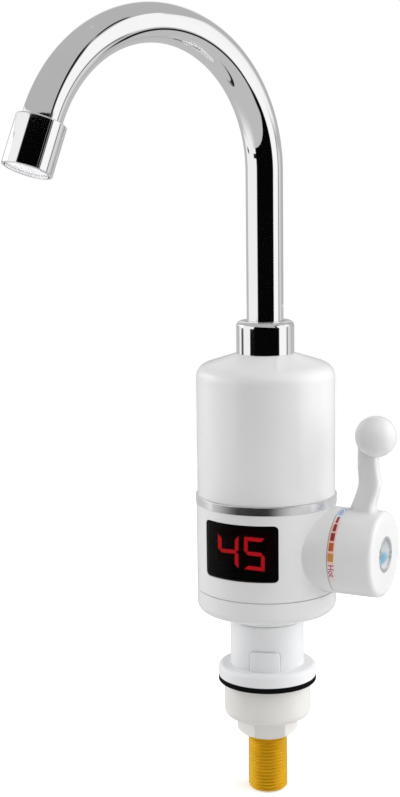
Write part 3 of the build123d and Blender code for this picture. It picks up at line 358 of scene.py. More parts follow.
@dataclass
class Bench:
    """Turns meshes drawn in millimetres into finished pieces of the model.

    Points closer than weld become one, and edges shorter than speck go.
    """

    dresser: "Dresser"
    weld: float = 0.0004
    speck: float = 0.0002
    replaced: set[str] = field(default_factory=set)

    def solid(self, name: str, mesh: Drawn, place: Matrix = UPRIGHT) -> bpy.types.Object:
        """Put a drawn mesh, used up here, in the scene at its place, still in millimetres."""
        mesh.transform(place)
        return linked(name, stored(name, mesh))

    def join(self, base: bpy.types.Object, how: Joining, mesh: Drawn,
             place: Matrix = UPRIGHT) -> None:
        """Fuse a solid to a piece, or cut it from it.

        Args:
            base: The piece.
            how: How the two meet.
            mesh: The other solid, used up here.
            place: Where the other solid goes.
        """
        tool = self.solid(base.name + "_tool", mesh, place)
        modifier = base.modifiers.new("joining", "BOOLEAN")
        modifier.operation, modifier.solver, modifier.object = how.value, "EXACT", tool
        graph = bpy.context.evaluated_depsgraph_get()
        made = bpy.data.meshes.new_from_object(base.evaluated_get(graph))
        base.modifiers.clear()
        spent = [base.data, tool.data]
        base.data = made
        bpy.data.objects.remove(tool)
        for data in spent:
            bpy.data.meshes.remove(data)

    def finish(self, piece: bpy.types.Object, finish: "Finish", body: str, *nodes: str,
               slot: str | None = None, edge: float = 30.0) -> bpy.types.Object:
        """Bring a piece to metres, smooth it, dress it and hang it on its body.

        Args:
            piece: The piece.
            finish: Its finish.
            body: The body it moves with.
            nodes: The frame's nodes that it stands for.
            slot: Not used.
            edge: The angle from which an edge stays sharp.

        Returns:
            The piece.
        """
        mesh = bmesh.new()
        mesh.from_mesh(piece.data)
        bmesh.ops.remove_doubles(mesh, verts=mesh.verts, dist=self.weld)
        bmesh.ops.dissolve_degenerate(mesh, edges=mesh.edges, dist=self.speck)
        mesh.transform(Matrix.Scale(MM, 4))
        mesh.to_mesh(piece.data)
        mesh.free()
        piece.data.shade_smooth()
        piece.data.set_sharp_from_angle(angle=math.radians(edge))
        shading = piece.modifiers.new("even_shading", "WEIGHTED_NORMAL")
        shading.keep_sharp = True
        self.dresser.dress(piece, finish)
        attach(piece, body)
        if nodes:
            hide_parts(*nodes)
            self.replaced.update(nodes)
        LOG.info("%s: %s, moves with %s", piece.name, finish.name, body)
        return piece

    def make(self, name: str, mesh: Drawn, finish: "Finish", body: str, *nodes: str,
             place: Matrix = UPRIGHT, joins: Sequence[tuple] = (), slot: str | None = None,
             edge: float = 30.0) -> bpy.types.Object:
        """Make a whole piece from its drawn mesh.

        Args:
            name: The piece's name.
            mesh: The mesh, used up here.
            finish: Its finish.
            body: The body it moves with.
            nodes: The frame's nodes that it stands for.
            place: Where the mesh goes.
            joins: How each further solid meets it, the solid, and its place if not upright.
            slot: The record's material slot, if it isn't the finish's own name.
            edge: The angle from which an edge stays sharp.

        Returns:
            The piece.
        """
        piece = self.solid(name, mesh, place)
        for how, other, *where in joins:
            self.join(piece, how, other, *where)
        return self.finish(piece, finish, body, *nodes, slot=slot, edge=edge)


# Finishes


class Grain(Enum):
    """How the fine relief of a surface runs."""

    PEEL = "peel"
    TURNED = "turned"
    STIPPLED = "stippled"


@dataclass
class NodeSheet:
    """A node tree, with short calls to lay out its nodes."""

    tree: bpy.types.NodeTree

    def __post_init__(self) -> None:
        """Start from an empty tree."""
        self.tree.nodes.clear()

    def add(self, kind: str, inputs: dict | None = None, **settings: object) -> bpy.types.Node:
        """Add a node and set its plain properties.

        Args:
            kind: The node's type name, without its first two words.
            inputs: What goes into it, as feed takes it.
            settings: Properties to set on the node.

        Returns:
            The new node.
        """
        node = self.tree.nodes.new("ShaderNode" + kind)
        for key, value in settings.items():
            setattr(node, key, value)
        self.feed(node, inputs or {})
        return node

    def feed(self, node: bpy.types.Node, inputs: dict[str | int, object]) -> None:
        """Set the inputs of a node, or link sockets to them.

        Args:
            node: The node.
            inputs: The name or number of each input, and its value or the socket that feeds it.
        """
        for key, value in inputs.items():
            if isinstance(value, Socket):
                self.tree.links.new(value, node.inputs[key])
            else:
                node.inputs[key].default_value = value

    def place(self) -> Socket:
        """Give the socket of the point's own place on the object."""
        return self.add("TexCoord").outputs["Object"]

    def stretched(self, scale: Scale) -> Socket:
        """Give the point's place, scaled along each axis."""
        return self.add("Mapping", {"Scale": scale, "Vector": self.place()}).outputs["Vector"]

    def noise(self, scale: float, detail: float = 2.0, stretch: Scale = (1.0, 1.0, 1.0)) -> Socket:
        """Give a noise of so many grains for each metre, with finer layers added by detail."""
        return self.add("TexNoise", {"Scale": scale, "Detail": detail,
                                     "Vector": self.stretched(stretch)}).outputs["Fac"]

    def ramp(self, value: Socket, stops: Sequence[tuple]) -> Socket:
        """Turn a value into a colour along a ramp.

        Args:
            value: The socket with the value from 0 to 1.
            stops: Positions and colours, in order.

        Returns:
            The socket with the colour.
        """
        node = self.add("ValToRGB", {"Fac": value})
        elements = node.color_ramp.elements
        while len(elements) < len(stops):
            elements.new(0.5)
        for element, stop in zip(elements, stops):
            element.position, element.color = stop
        return node.outputs["Color"]

    def span(self, value: Socket, low: float, high: float) -> Socket:
        """Spread a pattern from 0..1 over another span."""
        return self.add("MapRange", {"To Min": low, "To Max": high, "Value": value}).outputs[0]

    def within(self, value: Socket, start: float, end: float, kind: str = "LINEAR") -> Socket:
        """Give how far a value has come from a start to an end, from 0 to 1."""
        return self.add("MapRange", {"From Min": start, "From Max": end, "Value": value},
                        interpolation_type=kind).outputs[0]

    def sum(self, operation: str, *values: object) -> Socket:
        """Work out a number from sockets and plain numbers, in order."""
        return self.add("Math", dict(enumerate(values)), operation=operation).outputs["Value"]

    def along(self, axis: str) -> Socket:
        """Give the point's place along one axis."""
        return self.add("SeparateXYZ", {"Vector": self.place()}).outputs[axis]

    def mixed(self, share: object, first: Socket, second: Socket) -> Socket:
        """Mix two shaders, with the second's share."""
        return self.add("MixShader", {0: share, 1: first, 2: second}).outputs[0]

    def seen(self) -> Socket:
        """Give 1 on rays from the camera, off a gloss or through a window, and 0 on others."""
        rays = self.add("LightPath").outputs
        either = self.sum("MAXIMUM", rays["Is Camera Ray"], rays["Is Glossy Ray"])
        return self.sum("MAXIMUM", either, rays["Is Transmission Ray"])


class Coating(NodeSheet):
    """The node tree of one material, round its main shader."""

    def __init__(self, name: str, **values: object) -> None:
        """Start a material of that name.

        Args:
            name: The material's name.
            values: Values of the main shader's inputs, with underscores for spaces.
        """
        self.material = bpy.data.materials.new(name)
        self.material.use_nodes = True
        super().__init__(self.material.node_tree)
        self.output = self.add("OutputMaterial")
        self.shader = self.add("BsdfPrincipled")
        self.show(self.shader.outputs["BSDF"])
        self.set(**values)

    def show(self, shader: Socket) -> None:
        """Let a shader be the material's surface."""
        self.feed(self.output, {"Surface": shader})

    def set(self, **values: object) -> None:
        """Set the main shader's inputs, named with underscores for spaces."""
        self.feed(self.shader, {key.replace("_", " "): value for key, value in values.items()})


def opaque(colour: Colour, factor: float = 1.0) -> tuple[float, float, float, float]:
    """Give a colour with full cover, lighter or darker by a factor."""
    return (colour[0] * factor, colour[1] * factor, colour[2] * factor, 1.0)


WHITE = opaque((1.0, 1.0, 1.0))


@dataclass(frozen=True)
class Finish:
    """A surface with a colour that varies a little, its gloss and its fine relief."""

    name: str
    colour: Colour
    roughness: float = 0.4
    metal: float = 0.0
    specular: float = 0.5
    coat: float = 0.0
    coat_roughness: float = 0.03
    mottle: float = 0.03
    mottle_scale: float = 60.0
    gloss_spread: float = 0.03
    grain: Grain = Grain.PEEL
    grain_scale: float = 500.0
    grain_depth: float = 0.00002
    grain_strength: float = 0.25
    gloss_patch: float = 1.7

    def base(self, sheet: Coating) -> Socket:
        """Let the colour drift between a darker and a lighter tone."""
        tones = [(0.5 + 0.2 * side, opaque(self.colour, 1.0 + side * self.mottle))
                 for side in (-1, 1)]
        return sheet.ramp(sheet.noise(self.mottle_scale, 3.0), tones)

    def make(self) -> bpy.types.Material:
        """Lay out the material.

        Returns:
            The finished material.
        """
        sheet = Coating(self.name, Metallic=self.metal, Specular_IOR_Level=self.specular,
                        Coat_Weight=self.coat, Coat_Roughness=self.coat_roughness)
        gloss = sheet.noise(self.mottle_scale * self.gloss_patch)
        low, high = self.roughness - self.gloss_spread, self.roughness + self.gloss_spread
        stretch = (0.05, 0.05, 1.0) if self.grain is Grain.TURNED else (1.0, 1.0, 1.0)
        detail = 6.0 if self.grain is Grain.STIPPLED else 1.0
        relief = sheet.add("Bump", {"Strength": self.grain_strength, "Distance": self.grain_depth,
                                    "Height": sheet.noise(self.grain_scale, detail, stretch)})
        sheet.set(Base_Color=self.base(sheet), Roughness=sheet.span(gloss, max(low, 0.0), high),
                  Normal=relief.outputs["Normal"])
        self.complete(sheet)
        return sheet.material

    def complete(self, sheet: Coating) -> None:
        """Add what a special surface needs; a plain one needs nothing more."""


@dataclass(frozen=True)
class SmokedFinish(Finish):
    """A dark glossy window that lets a share of the light behind it through."""

    clearness: float = 0.5
    tint: Colour = (0.9, 0.85, 0.85)

    def complete(self, sheet: Coating) -> None:
        """Mix the gloss with a view through the window."""
        through = sheet.add("BsdfTransparent", {"Color": opaque(self.tint)}).outputs[0]
        sheet.show(sheet.mixed(self.clearness, sheet.shader.outputs["BSDF"], through))


@dataclass(frozen=True)
class LitFinish(Finish):
    """A surface that gives light of its own: the real lit bars, and painted glow on the aerator,
    the module's face and the halos round the bars.
    """

    light: Colour = (1.0, 0.02, 0.03)
    power: float = 1.0

    def complete(self, sheet: Coating) -> None:
        """Set the light that the surface gives."""
        sheet.set(Emission_Color=opaque(self.light), Emission_Strength=self.power)


@dataclass(frozen=True)
class ScaleFinish(Finish):
    """A print whose colour changes round the valve's axis, from the top towards the front.

    stops holds each colour's place in degrees from the top.
    """

    stops: tuple[tuple[float, Colour], ...] = ()

    def base(self, sheet: Coating) -> Socket:
        """Let the colour follow the angle round the valve's axis.

        Args:
            sheet: The material being laid out.

        Returns:
            The socket with the colour.
        """
        height = sheet.sum("SUBTRACT", sheet.along("Z"), VALVE_HEIGHT * MM)
        front = sheet.sum("MULTIPLY", sheet.along("Y"), -1.0)
        turn = sheet.sum("MULTIPLY", sheet.sum("ARCTAN2", front, height), 1 / math.pi)
        place = sheet.sum("MULTIPLY_ADD", turn, 0.5, 0.5)
        return sheet.ramp(place, [((degrees + 180) / 360, opaque(colour))
                                  for degrees, colour in self.stops])


@dataclass(frozen=True)
class LensFinish(Finish):
    """The button's glassy middle: silver, darker towards its top as painted reflection and shade,
    with a soft blue patch.

    patch is the blue's middle, in metres along Y and Z, reach is how far from it the blue starts
    to fade and where it has gone, and rim is how far the silver runs up and down in millimetres.
    """

    blue: Colour = (0.15, 0.41, 0.60)
    # light and dark are the tones of the painted reflection and shade, below and above.
    light: Colour = (0.84, 0.86, 0.88)
    dark: Colour = (0.36, 0.39, 0.41)
    patch: Place = (-0.0042, 0.0738)
    reach: Place = (0.0012, 0.0046)
    widening: float = 2.3
    wave: float = 0.0014
    wave_scale: float = 500.0
    rim: float = 7.5

    def base(self, sheet: Coating) -> Socket:
        """Lay the silver from light to dark upwards as painted reflection and shade, and the blue
        patch on it.

        Args:
            sheet: The material being laid out.

        Returns:
            The socket with the colour.
        """
        middle = (0.0, self.patch[0] / self.widening, self.patch[1])
        place = sheet.stretched((0.0, 1 / self.widening, 1.0))
        apart = sheet.add("VectorMath", {0: place, 1: middle}, operation="DISTANCE")
        wave = sheet.sum("MULTIPLY_ADD", sheet.noise(self.wave_scale), self.wave, -self.wave / 2)
        share = sheet.within(sheet.sum("ADD", apart.outputs["Value"], wave), *self.reach,
                             "SMOOTHSTEP")
        rise = sheet.within(sheet.along("Z"), (VALVE_HEIGHT - self.rim) * MM,
                            (VALVE_HEIGHT + self.rim) * MM)
        # Painted reflection and shade: the silver runs from light below to dark above.
        silver = sheet.ramp(rise, [(0.0, opaque(self.light)), (0.5, opaque(self.colour)),
                                   (1.0, opaque(self.dark))])
        return sheet.add("Mix", {0: share, 6: opaque(self.blue), 7: silver},
                         data_type="RGBA").outputs[2]


WHITE_PLASTIC = Finish("white_plastic", (0.80, 0.80, 0.805), roughness=0.30, coat=0.8,
                       mottle=0.006, mottle_scale=25, grain_scale=260, grain_strength=0.12)
# The neck is the same white plastic, with a duller coat and a lighter colour: the lighter colour
# is painted light that brightens the neck.
NECK_PLASTIC_PAINTED_LIGHT = Finish("neck_plastic_painted_light", (0.845, 0.85, 0.86), roughness=0.34, coat=0.3,
                      mottle=0.008, mottle_scale=30, grain_scale=260, grain_strength=0.12)
WARM_PLASTIC = Finish("warm_plastic", (0.79, 0.775, 0.745), roughness=0.42, coat=0.15,
                      mottle=0.012, mottle_scale=45, grain_scale=320, grain_strength=0.18)
CHROME = Finish("bright_chrome", (0.90, 0.90, 0.91), roughness=0.035, metal=1.0, mottle=0.01,
                mottle_scale=30, gloss_spread=0.012, grain_scale=90, grain_depth=0.00001,
                grain_strength=0.05)
SILVER = Finish("silver_trim", (0.94, 0.94, 0.95), roughness=0.20, metal=1.0, mottle=0.01,
                gloss_spread=0.02, grain=Grain.TURNED, grain_scale=3000,
                grain_depth=0.00001, grain_strength=0.1)
BRASS = Finish("yellow_brass", (0.85, 0.50, 0.012), roughness=0.36, metal=0.60, mottle=0.05,
               mottle_scale=120, gloss_spread=0.05, grain=Grain.TURNED, grain_scale=9000)
RUBBER = Finish("black_rubber", (0.004, 0.004, 0.0045), roughness=0.6, specular=0.03,
                mottle=0.1, grain=Grain.STIPPLED, grain_scale=900, grain_strength=0.3)
RED_RUBBER = Finish("red_rubber", (0.42, 0.06, 0.035), roughness=0.6, mottle=0.06,
                    grain=Grain.STIPPLED, grain_scale=900, grain_strength=0.3)
RING_CHROME = Finish("ring_chrome", (0.82, 0.83, 0.85), roughness=0.10, metal=1.0, mottle=0.02,
                     mottle_scale=200, gloss_spread=0.02, grain_scale=90, grain_strength=0.05)
STAINLESS = Finish("stainless", (0.58, 0.58, 0.57), roughness=0.30, metal=1.0, mottle=0.03,
                   gloss_spread=0.05, grain=Grain.TURNED, grain_scale=5000, grain_strength=0.25)
SCREW_STEEL = Finish("steel_screw", (0.60, 0.60, 0.59), roughness=0.32, metal=1.0, mottle=0.04,
                     mottle_scale=300, gloss_spread=0.06, grain_scale=1500)
BLACK_PLASTIC = Finish("black_plastic", (0.010, 0.010, 0.011), roughness=0.42, mottle=0.08,
                       grain=Grain.STIPPLED, grain_scale=1200)
GREY_PLASTIC = Finish("grey_plastic", (0.62, 0.63, 0.65), roughness=0.40, mottle=0.02,
                      grain_scale=900)
# The aerator's honeycomb gives a faint white light of its own: painted glow that brightens its
# face.
AERATOR_GREY_PAINTED_GLOW = LitFinish("aerator_painted_glow", (0.90, 0.90, 0.92), roughness=0.45, mottle=0.02,
                         grain_scale=900, light=(1.0, 1.0, 1.0), power=0.22)
BOARD_GREEN = Finish("board_green", (0.022, 0.13, 0.050), roughness=0.35, coat=0.4, mottle=0.08,
                     mottle_scale=500, grain_scale=2200)
CERAMIC = Finish("white_ceramic", (0.84, 0.83, 0.80), roughness=0.12, specular=0.7, mottle=0.01,
                 grain_scale=1500, grain_strength=0.05)
NYLON = Finish("nylon", (0.68, 0.66, 0.60), roughness=0.38, mottle=0.03, grain_scale=900)
WINDOW_BLACK = SmokedFinish("black_window", (0.002, 0.002, 0.0025), roughness=0.06,
                            specular=0.10, mottle=0.05, gloss_spread=0.01, grain_scale=60,
                            grain_strength=0.02)
# The module's dark face gives a faint red light of its own: painted glow from the lit bars.
MODULE_FACE_PAINTED_GLOW = LitFinish("module_face_painted_glow", (0.003, 0.003, 0.003), roughness=0.5, specular=0.1,
                        grain=Grain.STIPPLED, grain_scale=1500, light=(1.0, 0.0, 0.01),
                        power=0.012)
LIT_RED = LitFinish("lit_red", (0.20, 0.01, 0.01), roughness=0.4, mottle=0.05,
                    light=(1.0, 0.020, 0.035), power=1.6)
# Halos round the lit bars: painted red glow that spills from them onto the module.
HALO_PAINTED_GLOW = LitFinish("halo_painted_glow", (0.02, 0.004, 0.004), roughness=0.6, specular=0.1, mottle=0.05,
                     light=(1.0, 0.008, 0.012), power=0.10)
UNLIT_RED = Finish("unlit_red", (0.012, 0.008, 0.008), roughness=0.45, specular=0.2, mottle=0.05)
SCALE_PRINT = ScaleFinish("scale_print", (0.85, 0.60, 0.58), roughness=0.36, mottle=0.01,
                          stops=((-20, (0.70, 0.76, 0.84)), (24, (0.72, 0.77, 0.85)),
                                 (32, (0.84, 0.66, 0.66)), (45, (0.86, 0.52, 0.49)),
                                 (84, (0.87, 0.56, 0.48)), (94, (0.88, 0.68, 0.52)),
                                 (99, (0.83, 0.72, 0.71)), (130, (0.80, 0.74, 0.75))))
BAR_RED = Finish("bar_red", (0.25, 0.016, 0.011), roughness=0.34, mottle=0.06)
BAR_RUST = Finish("bar_rust", (0.50, 0.10, 0.024), roughness=0.34, mottle=0.06)
BAR_AMBER = Finish("bar_amber", (0.62, 0.275, 0.045), roughness=0.34, mottle=0.06)
WORD_BLUE = Finish("word_blue", (0.13, 0.28, 0.58), roughness=0.34, mottle=0.04)
WORD_RED = Finish("word_red", (0.52, 0.07, 0.16), roughness=0.34, mottle=0.04)
# The button's lens, with painted reflection and shade in its silver.
LENS_GLASS = LensFinish("button_lens", (0.66, 0.69, 0.71), roughness=0.09, metal=0.15,
                        coat=1.0, specular=0.6)

SLOT_FINISHES = {finish.name: finish for finish in (
    WHITE_PLASTIC, WARM_PLASTIC, CHROME, SILVER, BRASS, RUBBER, RED_RUBBER, STAINLESS,
    SCREW_STEEL, BLACK_PLASTIC, GREY_PLASTIC, BOARD_GREEN, CERAMIC, NYLON, WINDOW_BLACK,
    SCALE_PRINT, LENS_GLASS)}


@dataclass
class Dresser:
    """Keeps one material for each finish and puts it on pieces."""

    made: dict[str, bpy.types.Material] = field(default_factory=dict)

    def dress(self, piece: bpy.types.Object, finish: Finish) -> None:
        """Put one finish on a whole piece.

        Args:
            piece: The piece.
            finish: Its finish.
        """
        if finish.name not in self.made:
            self.made[finish.name] = finish.make()
        slots = piece.material_slots
        if not slots:
            piece.data.materials.append(self.made[finish.name])
        for slot in slots:
            slot.material = self.made[finish.name]


# Studio


@dataclass(frozen=True)
class Card:
    """A studio card that only reflections see, placed round the object.

    Each of its rows holds degrees round the object, from the camera's direction towards the
    picture's right, and where the card starts and ends there: in degrees above the horizon where
    it stands, or in metres from the object where it lies on the table. fade says how far its
    edges blend into the surround: left, right, lower and upper.
    """

    name: str
    rows: tuple[tuple[float, float, float], ...]
    brightness: float
    fade: tuple[float, float, float, float] = (0.0, 0.0, 0.0, 0.0)
    radius: float = 1.05
    middle: float = 0.30
    lying: bool = False


@dataclass(frozen=True)
class Lamp:
    """A soft square lamp that aims at the middle of the object.

    It hangs so many degrees round the object, from the camera's direction to the picture's
    right, and above the horizon. Its size is in metres and its power in watts.
    """

    name: str
    around: float
    above: float
    size: float
    power: float


@dataclass
class Studio:
    """Floor, world, lamps, cards and camera."""

    floor_height: float = -0.0606
    floor_half: float = 6.0
    camera_place: tuple[float, float, float] = (0.34935, -0.78098, 0.29443)
    camera_turn: float = 24.1
    camera_pitch: float = 9.461
    camera_yaw: float = -2.283
    camera_roll: float = -0.741
    lens: float = 75.397
    surround: float = 0.49
    table: float = 0.545
    world_light: float = 0.24
    floor_tone: float = 0.80
    floor_light: float = 0.45
    floor_spread: float = 0.01
    floor_grain: float = 40.0
    plain_from: float = 0.35
    plain_to: float = 1.1
    lamp_aim: float = 0.14
    lamp_distance: float = 1.5
    lamps: tuple[Lamp, ...] = (
        Lamp("right_lamp", 76, 22, 2.6, 24.0), Lamp("edge_lamp", 112, 12, 1.0, 11.0),
        Lamp("left_lamp", -108, 12, 1.2, 19.0), Lamp("front_lamp", 28, 3, 0.4, 1.5),
        Lamp("top_lamp", 10, 70, 0.9, 7.0))
    cards: tuple[Card, ...] = (
        Card("front_card", ((-47.5, -20, 31), (-30, -20, 30.4), (-10, -20, 27.9), (0, -20, 26),
                            (10, -20, 23.5), (20, -20, 20.4), (30, -20, 17.1), (44, -20, 11.8),
                            (50, -20, 9.6), (57.5, -20, 6.6)), 0.0015, (4, 2.5, 0, 0), 1.03),
        Card("frame_side", ((42, 0, 36), (46, 0, 42), (53, 0, 45)), 0.004, (1, 4, 0, 2), 1.02),
        Card("frame_top", ((48, 36, 44), (55, 40, 49), (65, 44.5, 53), (79, 45, 52)), 0.02,
             (1, 7, 1.5, 2), 1.02),
        Card("frame_foot", ((38, 0.80, 1.06), (50, 0.72, 1.05), (60, 0.63, 0.96), (70, 0.58, 0.86),
                            (80, 0.54, 0.80), (100, 0.535, 0.79), (112, 0.56, 0.84),
                            (122, 0.60, 0.98)), 0.008, (5, 9, 0.04, 0.06), lying=True),
        Card("left_foot", ((-125, 0.30, 1.06), (-35, 0.30, 1.06)), 0.95, (38, 38, 0.5, 0),
             lying=True),
        Card("right_box", ((50, -20, 34), (60, -20, 38.5), (70, -20, 43.5), (80, -20, 44),
                           (90, -20, 42), (97, -20, 40)), 1.02, (1, 9, 0, 3)),
        Card("right_wing", ((90, 0, 37), (106, 1, 37), (130, 4, 37)), 1.0, (0, 24, 3, 4), 1.045),
        Card("right_gap", ((93.5, -20, 1), (99.5, -20, 1)), 0.13, (1.5, 1.5, 0, 2), 1.04),
        Card("right_side", ((99.5, -20, 1), (128, -20, 1)), 0.72, (0, 16, 0, 2), 1.045),
        Card("left_box", ((-146, -20, 8.5), (-130, -20, 14.5), (-120, -20, 18), (-110, -20, 21.2),
                          (-100, -20, 24), (-90, -20, 26.4), (-80, -20, 28.4), (-70, -20, 29.8),
                          (-60, -20, 30.6), (-44, -20, 31)), 0.95, (9, 0, 0, 0)),
        Card("left_dim", ((-160, -20, 1), (-123, -20, 1)), 0.53, (0, 3, 0, 3), 1.04),
        Card("left_gap", ((-109, -15.7, -13.0), (-95, -15.7, -13.0)), 0.10, (2, 2, 0, 0), 1.03),
        Card("low_dark", ((-62.5, -16, -12.8), (-42, -16, -12.8)), 0.004, (2, 0, 0, 0), 1.02),
        Card("back_box", ((-204, 3, 34), (-150, 3, 34)), 0.82, (18, 14, 6, 8)),
        Card("left_core", ((-128, 7, 14), (-96, 15, 23)), 2.4, (4, 4, 1, 1), 1.03),
        Card("low_front", ((-85, -14, 14), (32, -14, 14)), 0.012, (46, 32, 0, 1), 0.12, 0.062),
        Card("low_right", ((32, 3, 14), (150, 3, 14)), 0.61, (0, 0, 0, 0), 0.12, 0.062),
    )
    card_step: float = 1.5
    card_columns: int = 8
    card_rows: int = 24
    card_lift: float = 0.0004
    card_apart: float = 0.00002

    def camera(self) -> None:
        """Set the camera where the photograph was taken from."""
        pitch, yaw, roll = (math.radians(a) for a in
                            (self.camera_pitch, self.camera_yaw, self.camera_roll))
        ahead = Vector((math.sin(yaw) * math.cos(pitch), math.cos(yaw) * math.cos(pitch),
                        -math.sin(pitch)))
        right = Vector((math.cos(yaw), -math.sin(yaw), 0.0))
        above = right.cross(ahead)
        right, above = (math.cos(roll) * right + math.sin(roll) * above,
                        math.cos(roll) * above - math.sin(roll) * right)
        turn = Matrix.Rotation(math.radians(self.camera_turn), 3, "Z")
        aim = Matrix([turn @ axis for axis in (right, above, -ahead)]).transposed().to_4x4()
        data = bpy.data.cameras.new("camera")
        data.lens = self.lens
        data.sensor_width = 36.0
        camera = linked("camera", data)
        camera.matrix_world = Matrix.Translation(self.camera_place) @ aim
        bpy.context.scene.camera = camera

    def world(self) -> None:
        """Light evenly from all round, and show plain white behind the object."""
        world = bpy.data.worlds.new("studio")
        bpy.context.scene.world = world
        world.use_nodes = True
        sheet = NodeSheet(world.node_tree)
        light, plain = (sheet.add("Background", {"Color": WHITE, "Strength": strength}).outputs[0]
                        for strength in (self.world_light, 1.0))
        sheet.add("OutputWorld", {"Surface": sheet.mixed(sheet.seen(), light, plain)})

    def floor(self) -> None:
        """Lay a pale floor that keeps the object's shadow and ends in the white behind it."""
        mesh = bmesh.new()
        bmesh.ops.create_grid(mesh, x_segments=8, y_segments=8, size=self.floor_half)
        floor = linked("floor", stored("floor", mesh))
        floor.location.z = self.floor_height
        sheet = Coating("floor_paper", Roughness=0.9, Specular_IOR_Level=0.0,
                        Emission_Color=WHITE)
        tones = [(place, opaque(WHITE, self.floor_tone + side * self.floor_spread))
                 for place, side in ((0.0, -1), (1.0, 1))]
        seen = sheet.seen()
        sheet.set(Base_Color=sheet.ramp(sheet.noise(self.floor_grain), tones),
                  Emission_Strength=sheet.sum("MULTIPLY", seen, self.floor_light))
        away = sheet.add("VectorMath", {0: sheet.place()}, operation="LENGTH").outputs["Value"]
        far = sheet.within(away, self.plain_from, self.plain_to, "SMOOTHSTEP")
        plain = sheet.add("Emission", {"Strength": 1.0}).outputs["Emission"]
        sheet.show(sheet.mixed(sheet.sum("MULTIPLY", far, seen), sheet.shader.outputs["BSDF"],
                               plain))
        floor.data.materials.append(sheet.material)

    def direction(self, around: float, above: float) -> Vector:
        """Give the unit vector towards a place round the object.

        Args:
            around: Degrees from the camera's direction, to the picture's right.
            above: Degrees above the horizon.

        Returns:
            The direction.
        """
        turn = math.radians(self.camera_turn + around)
        rise = math.radians(above)
        return Vector((math.sin(turn) * math.cos(rise), -math.cos(turn) * math.cos(rise),
                       math.sin(rise)))

    def hang(self, lamp: Lamp) -> None:
        """Hang a lamp that no reflection shows.

        Args:
            lamp: The lamp.
        """
        data = bpy.data.lights.new(lamp.name, "AREA")
        data.shape, data.size, data.energy = "SQUARE", lamp.size, lamp.power
        piece = linked(lamp.name, data)
        middle = Vector((0.0, 0.0, self.lamp_aim))
        piece.location = middle + self.lamp_distance * self.direction(lamp.around, lamp.above)
        piece.rotation_euler = (middle - piece.location).to_track_quat("-Z", "Y").to_euler()
        piece.visible_glossy = False

    def glow(self, card: Card, inside: Sequence[float]) -> float:
        """Give the brightness of one place on a card, blended towards its edges.

        Args:
            card: The card.
            inside: How far the place is from the card's left, right, lower and upper edges.

        Returns:
            The brightness there.
        """
        share = 1.0
        for depth, fade in zip(inside, card.fade):
            if fade:
                part = min(max(depth / fade, 0.0), 1.0)
                share *= part * part * (3 - 2 * part)
        beyond = self.table if card.lying else self.surround
        return beyond + (card.brightness - beyond) * share

    def stand(self, card: Card, lift: float) -> None:
        """Place a card round the object, seen only in its reflections.

        Args:
            card: The card.
            lift: How far above the floor it lies, where it does.
        """
        mesh = bmesh.new()
        shine = mesh.verts.layers.float.new("glow")
        start, end = card.rows[0][0], card.rows[-1][0]
        columns = max(self.card_columns, int((end - start) / self.card_step))
        steps = self.card_rows
        grid = []
        for i in range(columns + 1):
            around = start + (end - start) * i / columns
            low, high = between(card.rows, around)
            grid.append([])
            for j in range(steps + 1):
                value = low + (high - low) * j / steps
                if card.lying:
                    place = value * self.direction(around, 0.0)
                    place.z = self.floor_height + lift
                else:
                    place = card.radius * self.direction(around, value)
                    place.z += card.middle
                vertex = mesh.verts.new(place)
                vertex[shine] = self.glow(card, (around - start, end - around,
                                                 value - low, high - value))
                grid[-1].append(vertex)
        for left, right in zip(grid, grid[1:]):
            for j in range(steps):
                mesh.faces.new((left[j], right[j], right[j + 1], left[j + 1]))
        piece = linked(card.name, stored(card.name, mesh))
        glow = Coating(card.name, Base_Color=opaque((0.0, 0.0, 0.0)), Roughness=1.0,
                       Specular_IOR_Level=0.0, Emission_Color=WHITE)
        glow.set(Emission_Strength=glow.add("Attribute", attribute_name="glow").outputs["Fac"])
        piece.data.materials.append(glow.material)
        for ray in ("camera", "diffuse", "shadow", "transmission", "volume_scatter"):
            setattr(piece, "visible_" + ray, False)

    def build(self) -> None:
        """Set up the whole studio."""
        bpy.context.scene.view_settings.view_transform = "Standard"
        self.camera()
        self.world()
        self.floor()
        for lamp in self.lamps:
            self.hang(lamp)
        self.stand(Card("surround_card", ((-180, -89, 89), (180, -89, 89)), self.surround,
                        radius=2.4), 0.0)
        self.stand(Card("table_card", ((-180, 0.001, 2.35), (180, 0.001, 2.35)), self.table,
                        lying=True), 0.0003)
        for number, card in enumerate(self.cards):
            self.stand(card, self.card_lift + self.card_apart * number)
        LOG.info("studio: camera, floor, lamps and cards")


